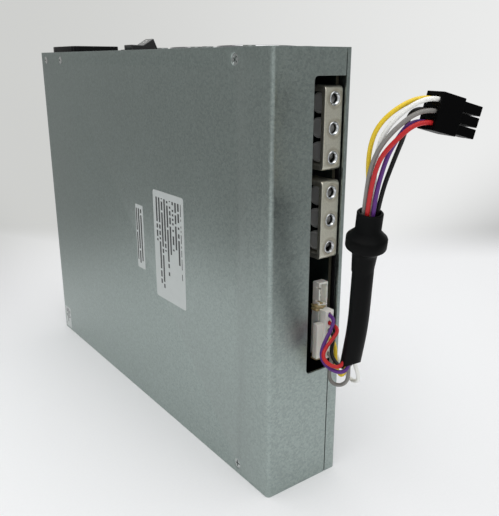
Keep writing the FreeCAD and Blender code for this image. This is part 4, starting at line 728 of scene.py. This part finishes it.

# Harness: six stranded wires in coloured insulation, from the white plug through the rubber sleeve to the
# black signal plug. A route is the corners that a wire passes inside, in millimetres.
WIRE = 1.8 * MM
ROUTES = {
    "wire_purple": [
        (14.1, -129.0, 86.6), (14.1, -134.6, 86.6), (10.6, -136.6, 82.6), (6.2, -137.6, 78.6),
        (2.9, -138.4, 74.4), (1.4, -140.0, 71.2), (2.0, -142.6, 68.4), (3.2, -145.9, 67.0),
        (4.8, -148.8, 66.6), (7.0, -150.9, 68.0), (8.4, -151.0, 72.4), (7.3, -157.7, 91.0),
        (3.2, -162.6, 120.8), (-0.6, -168.3, 150.7), (-0.6, -172.0, 164.5), (-0.5, -175.8, 172.5),
        (3.1, -180.7, 181.7), (9.7, -182.3, 179.9),
    ],
    "wire_red": [
        (14.1, -129.0, 82.64), (14.1, -135.2, 82.64), (12.4, -139.0, 81.4), (7.2, -140.6, 79.2),
        (2.2, -141.6, 76.8), (-0.3, -142.6, 74.2), (0.0, -144.2, 71.6), (2.2, -146.4, 69.6),
        (4.6, -148.6, 69.2), (6.9, -149.9, 72.6), (5.6, -156.5, 91.0), (1.5, -161.4, 120.8),
        (-2.2, -166.7, 150.7), (-5.0, -172.5, 165.5), (-4.6, -178.5, 173.0), (2.1, -184.8, 181.7),
        (8.7, -186.4, 179.9),
    ],
    "wire_black": [
        (14.1, -129.0, 78.68), (14.1, -134.0, 78.68), (12.2, -136.2, 75.4), (10.0, -137.2, 71.4),
        (9.0, -140.0, 68.4), (9.6, -143.6, 66.4), (10.6, -146.6, 66.2), (11.4, -148.8, 68.6),
        (11.2, -150.8, 74.0), (9.1, -157.0, 91.4), (5.0, -161.8, 121.2), (2.6, -168.0, 151.0),
        (7.4, -170.0, 166.0), (7.0, -174.5, 175.5), (2.2, -180.5, 186.3), (10.7, -182.6, 184.0),
    ],
    "wire_yellow": [
        (14.1, -129.0, 74.72), (14.1, -134.2, 74.72), (13.4, -136.8, 71.6), (11.8, -138.6, 67.6),
        (10.6, -141.0, 63.2), (10.0, -144.4, 61.4), (10.2, -146.8, 64.2), (10.2, -148.0, 71.3),
        (7.7, -153.7, 91.8), (3.6, -158.6, 121.6), (0.5, -164.3, 151.4), (-4.0, -166.5, 168.5),
        (-5.0, -172.5, 181.0), (5.1, -181.2, 189.9), (11.7, -182.8, 188.1),
    ],
    "wire_white": [
        (14.1, -129.0, 70.76), (14.1, -134.0, 70.76), (15.6, -137.0, 65.2), (16.4, -140.6, 60.2),
        (16.2, -145.2, 57.6), (15.8, -149.4, 58.8), (14.4, -151.6, 63.0), (11.8, -149.8, 71.3),
        (9.3, -154.9, 91.8), (5.2, -159.8, 121.6), (2.2, -165.5, 151.4), (-3.2, -169.5, 168.0),
        (-4.2, -176.4, 180.6), (4.1, -185.3, 189.9), (10.7, -186.9, 188.1),
    ],
    "wire_gray": [
        (14.1, -129.0, 66.8), (14.1, -133.8, 66.8), (11.4, -135.8, 61.8), (9.0, -137.6, 58.4),
        (8.4, -140.9, 56.3), (9.8, -145.1, 56.8), (11.0, -148.2, 60.4), (10.2, -148.9, 69.0),
        (7.9, -151.6, 80.0), (5.8, -154.5, 91.4), (1.7, -159.4, 121.2), (-1.9, -164.7, 151.0),
        (-5.6, -170.4, 166.4), (-4.3, -177.6, 177.2), (3.1, -185.0, 185.8), (9.7, -186.6, 184.0),
    ],
}
INSULATION = {
    "wire_purple": (0.105, 0.026, 0.205),
    "wire_red": (0.50, 0.016, 0.018),
    "wire_black": (0.004, 0.004, 0.0045),
    "wire_yellow": (0.80, 0.57, 0.03),
    "wire_white": (0.86, 0.86, 0.82),
    "wire_gray": (0.235, 0.225, 0.21),
}
wires = {}
for name, route in ROUTES.items():
    line = bpy.data.curves.new(f"{name}_run", "CURVE")
    line.dimensions = "3D"
    line.bevel_depth = WIRE / 2
    line.bevel_resolution = 5
    line.resolution_u = 14
    line.use_fill_caps = True
    spline = line.splines.new("NURBS")
    spline.points.add(len(route) - 1)
    for point, spot in zip(spline.points, route):
        point.co = (*[c * MM for c in spot], 1)
    spline.order_u = 3
    spline.use_endpoint_u = True
    insulation = grained(
        f"{name}_insulation", INSULATION[name], 0.40, grain=420, tone=0.14, gloss=0.12, bump=0.05,
        Specular_IOR_Level=0.35,
    )
    line.materials.append(insulation)
    wires[name] = bpy.data.objects.new(f"{name}_run", line)
    collection.objects.link(wires[name])
    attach(wires[name], SUPPLY)
    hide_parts(name)

# Sleeve and grommet: black rubber over the wires. The grommet is a moulding with a neck, a round collar and
# a skirt that runs out over the upper end of the sleeve. The sleeve's lower end is cut off at a slant.
SLEEVE_EDGE = 0.25 * MM
SLEEVE_END = Vector((10.0, -150.0, 70.9)) * MM
SLEEVE_WAY = Vector((2.52, 5.74, -20.5)).normalized()
SLEEVE_CUT = Vector((-0.048, -0.544, -0.831))
SLEEVE_NEAR = 6.5 * MM
SLEEVE_LONGER = 2.2 * MM
GROMMET_TOP = Vector((1.0, -165.1, 144.7)) * MM
GROMMET_WAY = Vector((-2.4, -4.5, 23.5))
GROMMET = [
    (4.0, -9.0), (4.0, -0.4), (4.35, 0.0), (4.95, 0.0), (5.3, -0.4), (5.3, -7.5), (5.6, -8.2), (7.7, -10.3),
    (8.2, -10.75), (8.45, -11.3), (8.45, -15.0), (8.2, -15.6), (7.6, -16.1), (5.7, -17.6), (5.3, -18.4),
    (5.15, -19.4), (4.55, -27.0), (4.4, -27.1), (4.2, -27.1),
]
rubber = grained(
    "rubber", (0.0022, 0.0025, 0.0026), 0.48, grain=800, tone=0.6, bump=0.2, depth=0.12,
    Specular_IOR_Level=0.085,
)


def cut_end(point):
    """Slides the lower end of the sleeve along its own line, to the slant of the real cut."""
    if (point - SLEEVE_END).length > SLEEVE_NEAR:
        return point
    slide = SLEEVE_CUT.dot(SLEEVE_END - point) / SLEEVE_CUT.dot(SLEEVE_WAY)
    return point + SLEEVE_WAY * (slide + SLEEVE_LONGER)


sleeve = dressed("cable_sleeve", rubber, SLEEVE_EDGE, refit=cut_end)
shape = lathe([(radius * MM, height * MM) for radius, height in GROMMET], steps=64)
bmesh.ops.transform(shape, matrix=facing(GROMMET_TOP, GROMMET_WAY), verts=shape.verts[:])
grommet = piece(shape, "grommet_moulding", rubber)
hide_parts("cable_grommet")

# Signal plug: a black moulded housing with two rows of square silos and a latch. The wires end in contacts
# that snap into it from behind.
PLUG_EDGE = 0.25 * MM
black_nylon = grained(
    "black_nylon", (0.0012, 0.0012, 0.0014), 0.42, grain=700, tone=0.6, bump=0.12, Specular_IOR_Level=0.05
)
signal_plug = dressed("signal_plug", black_nylon, PLUG_EDGE)

# Fans: black moulded frames and impellers under the inlet panel, steel shafts in bronze bearings,
# and chromed wire guards held on from outside by screws with a tall cross head.
FAN_HEAD_SKIRT = 1.6 * MM
FAN_HEAD_EDGE = 0.35 * MM
fan_plastic = grained("fan_plastic", (0.012, 0.012, 0.013), 0.42, grain=600, tone=0.4, bump=0.12)
blade_plastic = grained("blade_plastic", (0.020, 0.020, 0.022), 0.32, grain=600, tone=0.4, bump=0.08)
chrome = grained(
    "chrome", (0.42, 0.42, 0.43), 0.10, grain=1200, tone=0.15, gloss=0.12, bump=0.03, Metallic=1.0
)
shaft_steel = grained("shaft_steel", (0.58, 0.60, 0.61), 0.24, grain=1400, tone=0.3, Metallic=1.0)
bronze = grained("bronze", (0.36, 0.24, 0.10), 0.4, grain=1500, tone=0.4, Metallic=1.0)
copper = grained("copper", (0.45, 0.17, 0.06), 0.32, grain=500, tone=0.6, bump=0.4, depth=0.3, Metallic=0.7)
for number in (1, 2):
    painted(f"fan_frame_{number}", fan_plastic)
    painted(f"fan_rotor_{number}", blade_plastic)
    painted(f"fan_shaft_{number}", shaft_steel)
    painted(f"fan_bearing_{number}", bronze)
    painted(f"fan_stator_{number}", copper)
    painted(f"fan_guard_{number}", chrome)
heads = []
for number, (low, high) in enumerate(solids_of("fan_screws")):
    radius = (high.x - low.x) / 2
    middle = (low + high) / 2
    place = facing((middle.x, middle.y, high.z), (0, 0, 1), HEAD_TURN * number)
    heads.append((cross_head(radius, FAN_HEAD_SKIRT, radius, FAN_HEAD_EDGE), place))
piece(gathered(heads), "fan_screw_heads", screw_zinc)
painted("fan_screws", screw_zinc)

# Mains inlet: a black moulding with a deep keyed well and flat plated pins, let into the inlet panel.
# Its flange lies on the panel and covers the edge of the cutout.
INLET_EDGE = 0.5 * MM
FLANGE_SEAT = 205.0 * MM
FLANGE_END = 16.5 * MM
FLANGE_RAISE = 0.2 * MM
FLANGE_LENGTHEN = 2.5 * MM
moulded_black = grained(
    "moulded_black", (0.004, 0.004, 0.0045), 0.42, grain=900, tone=0.5, bump=0.2, Specular_IOR_Level=0.15
)
inlet_low, inlet_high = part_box("inlet_body")
inlet_middle = (inlet_low.y + inlet_high.y) / 2


def grown_flange(point):
    """Raises the flange and moves its two ends outwards, to the size of the real one."""
    along = point.y - inlet_middle
    if point.z > inlet_high.z - FLANGE_RAISE:
        point = point + Vector((0, 0, FLANGE_RAISE))
    if point.z > FLANGE_SEAT - TOUCH and abs(along) > FLANGE_END:
        point = point + Vector((0, math.copysign(FLANGE_LENGTHEN, along), 0))
    return point


dressed("inlet_body", moulded_black, INLET_EDGE, segments=3, refit=grown_flange)
painted("inlet_pins", tin)

# Rocker switch: a black bezel and housing set into the inlet panel, and a glossy rocker on two pivots.
# A ring and a stroke are printed on the rocker in white, one on each side of its pivots.
BEZEL_EDGE = 0.3 * MM
BEZEL_RAISE = 0.2 * MM
ROCKER_EDGE = 0.45 * MM
ROCKER_PIVOT = Vector((0, 20.5, 206.0)) * MM
ROCKER_LEAN = math.radians(-14)
CROWN_FROM = 1.5 * MM
CROWN_RAISE = 1.6 * MM
CROWN_NARROW = 0.95
ABOVE_CROWN = 16.0 * MM
MARK_OUT = 4.2 * MM
MARK_THICK = 0.04 * MM
MARK_CORNER = 0.1 * MM
RING_IN = 0.95 * MM
RING_OUT = 1.35 * MM
STROKE_LONG = 2.6 * MM
gloss_black = grained(
    "gloss_black", (0.010, 0.010, 0.011), 0.22, grain=300, tone=0.3, gloss=0.1, bump=0.04, Coat_Weight=0.3
)
white_print = grained("white_print", (0.72, 0.72, 0.70), 0.5, grain=900, tone=0.15)
bezel_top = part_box("switch_body")[1].z
rocker_rest = Matrix.Translation(ROCKER_PIVOT) @ Matrix.Rotation(ROCKER_LEAN, 4, "Y")


def raised_bezel(point):
    """Raises the top of the bezel."""
    return point + Vector((0, 0, BEZEL_RAISE)) if point.z > bezel_top - BEZEL_RAISE else point


def raised_crown(point):
    """Raises the top of the rocker, square to its pivots, and draws its two tips in."""
    own = rocker_rest.inverted() @ point
    if own.z > CROWN_FROM:
        own = Vector((own.x * CROWN_NARROW, own.y, own.z + CROWN_RAISE))
    return rocker_rest @ own


def on_rocker(out):
    """The place on the rocker's crown at a distance from its pivots."""
    start = rocker_rest @ Vector((out, 0, ABOVE_CROWN))
    spot, way = rocker_skin.ray_cast(start, rocker_rest.to_3x3() @ Vector((0, 0, -1)))[:2]
    return facing(spot, way)


dressed("switch_body", moulded_black, BEZEL_EDGE, refit=raised_bezel)
rocker = dressed("switch_rocker", gloss_black, ROCKER_EDGE, segments=3, refit=raised_crown)
rocker_skin = BVHTree.FromPolygons(
    [v.co for v in rocker.data.vertices], [face.vertices for face in rocker.data.polygons]
)
ring = lathe([(RING_IN, 0), (RING_IN, MARK_THICK), (RING_OUT, MARK_THICK), (RING_OUT, 0), (RING_IN, 0)])
stroke = bmesh.new()
bmesh.ops.create_cube(stroke, size=1.0)
bmesh.ops.scale(stroke, verts=stroke.verts[:], vec=(RING_OUT - RING_IN, STROKE_LONG, 2 * MARK_THICK))
posts = [e for e in stroke.edges if e.calc_length() < 3 * MARK_THICK]
soften(stroke, posts, MARK_CORNER)
marks = gathered([(ring, on_rocker(MARK_OUT)), (stroke, on_rocker(-MARK_OUT))])
piece(marks, "rocker_marks", white_print, "switch_rocker")
painted("switch_terminals", tin)

# Parts on the board: extruded heat sinks, power packages, cores and windings, boxed capacitors and a fuse,
# soldered in place. They show only through the vents and the window.
extruded = grained("extruded", (0.50, 0.51, 0.52), 0.34, grain=700, tone=0.2, Metallic=1.0)
ferrite = grained("ferrite", (0.030, 0.030, 0.032), 0.55, grain=900, tone=0.5, bump=0.3)
boxed = grained("boxed", (0.55, 0.40, 0.08), 0.4, grain=500, tone=0.2)
fired = grained("fired", (0.62, 0.60, 0.54), 0.5, grain=900, tone=0.2, bump=0.2)
INSIDE = {
    "heat_sink_primary": extruded,
    "heat_sink_secondary": extruded,
    "power_transistors": black_nylon,
    "bridge_rectifier": black_nylon,
    "power_transformers": ferrite,
    "pfc_choke": copper,
    "line_filter_choke": copper,
    "film_capacitors": boxed,
    "line_fuse": fired,
}
for name, finish in INSIDE.items():
    painted(name, finish)

# Stage: white paper on the floor, which gives way to a pale wall behind the object and to a dimmer room out
# of view. The camera and the reflections see the wall and the room, and all else gets an even pale light.
FLOOR = 12.0
FLOOR_WHITE = (0.86, 0.862, 0.868)
ROOM = (0.325, 0.328, 0.325, 1)
WALL_LEFT = (0.62, 0.625, 0.61, 1)
WALL_RIGHT = (0.84, 0.845, 0.84, 1)
WALL_TURN = (-0.40, 0.48)
WALL_SEEN = (0.60, 0.90)
EVEN_LIGHT = (0.98, 0.99, 1.0, 1)
EVEN_STRENGTH = 0.45
VIEW_AHEAD = (0.594, 0.804, 0.0)
VIEW_RIGHT = (0.804, -0.594, 0.0)
PAPER_ENDS = {
    VIEW_AHEAD: (0.26, 0.42),
    (-0.610, 0.792, 0.0): (0.10, 0.46),
    (0.505, -0.863, 0.0): (0.16, 0.56),
}


def backdrop_group():
    """The colour of the surroundings in a direction."""
    tree, given, out = new_group("backdrop", {"Direction": "Vector"}, {"Color": "Color"})
    way = vector_in(tree, "NORMALIZE", given["Direction"])
    ahead = vector_in(tree, "DOT_PRODUCT", way, VIEW_AHEAD)
    right = vector_in(tree, "DOT_PRODUCT", way, VIEW_RIGHT)
    wall = blended(tree, eased(tree, right, *WALL_TURN), WALL_LEFT, WALL_RIGHT)
    around = blended(tree, eased(tree, ahead, *WALL_SEEN), ROOM, wall)
    tree.links.new(around, out.inputs["Color"])
    return tree


def seen_in(tree):
    """1 for a ray that shows a surface, and 0 for one that lights it."""
    path = tree.nodes.new("ShaderNodeLightPath").outputs
    mirrored = math_in(tree, "ADD", path["Is Glossy Ray"], path["Is Transmission Ray"])
    rays = {0: path["Is Camera Ray"], 1: mirrored}
    return node_in(tree, "ShaderNodeMath", rays, operation="ADD", use_clamp=True).outputs[0]


backdrop = backdrop_group()
shape = bmesh.new()
bmesh.ops.create_grid(shape, x_segments=1, y_segments=1, size=FLOOR)
floor_mesh = bpy.data.meshes.new("floor")
shape.to_mesh(floor_mesh)
shape.free()
paper, tree, shader = new_material("floor_paper", {"Roughness": 0.8, "Specular IOR Level": 0.15})
place = tree.nodes.new("ShaderNodeTexCoord").outputs["Object"]
white = tinted(tree, FLOOR_WHITE, noise_in(tree, place, scale=900.0), spread=0.05)
tree.links.new(white, shader.inputs["Base Color"])
around = node_in(tree, "ShaderNodeGroup", {"Direction": place}, node_tree=backdrop).outputs["Color"]
glow = node_in(tree, "ShaderNodeEmission", {"Color": around}).outputs[0]
beyond = 0.0
for way, (start, end) in PAPER_ENDS.items():
    away = vector_in(tree, "DOT_PRODUCT", place, way)
    beyond = math_in(tree, "MAXIMUM", beyond, eased(tree, away, start, end))
fade = math_in(tree, "MULTIPLY", beyond, seen_in(tree))
mixed = node_in(tree, "ShaderNodeMixShader", {0: fade, 1: shader.outputs[0], 2: glow}).outputs[0]
tree.links.new(mixed, tree.nodes["Material Output"].inputs["Surface"])
floor_mesh.materials.append(paper)
floor = bpy.data.objects.new("floor", floor_mesh)
collection.objects.link(floor)
world = bpy.data.worlds.new("studio")
bpy.context.scene.world = world
world.use_nodes = True
tree = world.node_tree
tree.nodes.clear()
ray = tree.nodes.new("ShaderNodeTexCoord").outputs["Generated"]
around = node_in(tree, "ShaderNodeGroup", {"Direction": ray}, node_tree=backdrop).outputs["Color"]
shown = node_in(tree, "ShaderNodeBackground", {"Color": around}).outputs[0]
even = {"Color": EVEN_LIGHT, "Strength": EVEN_STRENGTH}
light = node_in(tree, "ShaderNodeBackground", even).outputs[0]
mixed = node_in(tree, "ShaderNodeMixShader", {0: seen_in(tree), 1: light, 2: shown}).outputs[0]
tree.links.new(mixed, node_in(tree, "ShaderNodeOutputWorld").inputs["Surface"])

# Lamps: a broad one overhead and a weaker one from the front, both square and turned to the object.
# Each has its place and size in metres, and its power in watts.
LAMPS = {
    "overhead_lamp": ((-0.15, -0.25, 1.7), 2.0, 25.0),
    "front_lamp": ((-0.5, -1.5, 0.9), 2.2, 6.0),
}
LIT = Vector((0, -0.05, 0.08))
for name, (spot, size, power) in LAMPS.items():
    lamp = bpy.data.lights.new(name, "AREA")
    lamp.shape = "SQUARE"
    lamp.size = size
    lamp.energy = power
    holder = bpy.data.objects.new(name, lamp)
    holder.location = spot
    holder.rotation_euler = (LIT - Vector(spot)).to_track_quat("-Z", "Y").to_euler()
    collection.objects.link(holder)

# Camera: the photo's own view. Its place, direction and focal length were solved from the corners of the
# case, for a picture of the photo's height in pixels.
CAMERA_SPOT = (-0.181081, -0.331721, 0.201095)
CAMERA_WAY = Vector((0.567, 0.768, -0.297))
IMAGE_HIGH = 516
FOCAL_PIXELS = 631.435
SENSOR = 36.0
camera = bpy.data.cameras.new("camera")
camera.sensor_fit = "VERTICAL"
camera.sensor_height = SENSOR
camera.lens = FOCAL_PIXELS / IMAGE_HIGH * SENSOR
camera.clip_start = 0.01
holder = bpy.data.objects.new("camera", camera)
holder.location = CAMERA_SPOT
holder.rotation_euler = CAMERA_WAY.to_track_quat("-Z", "Y").to_euler()
collection.objects.link(holder)
bpy.context.scene.camera = holder
bpy.context.scene.view_settings.view_transform = "Standard"
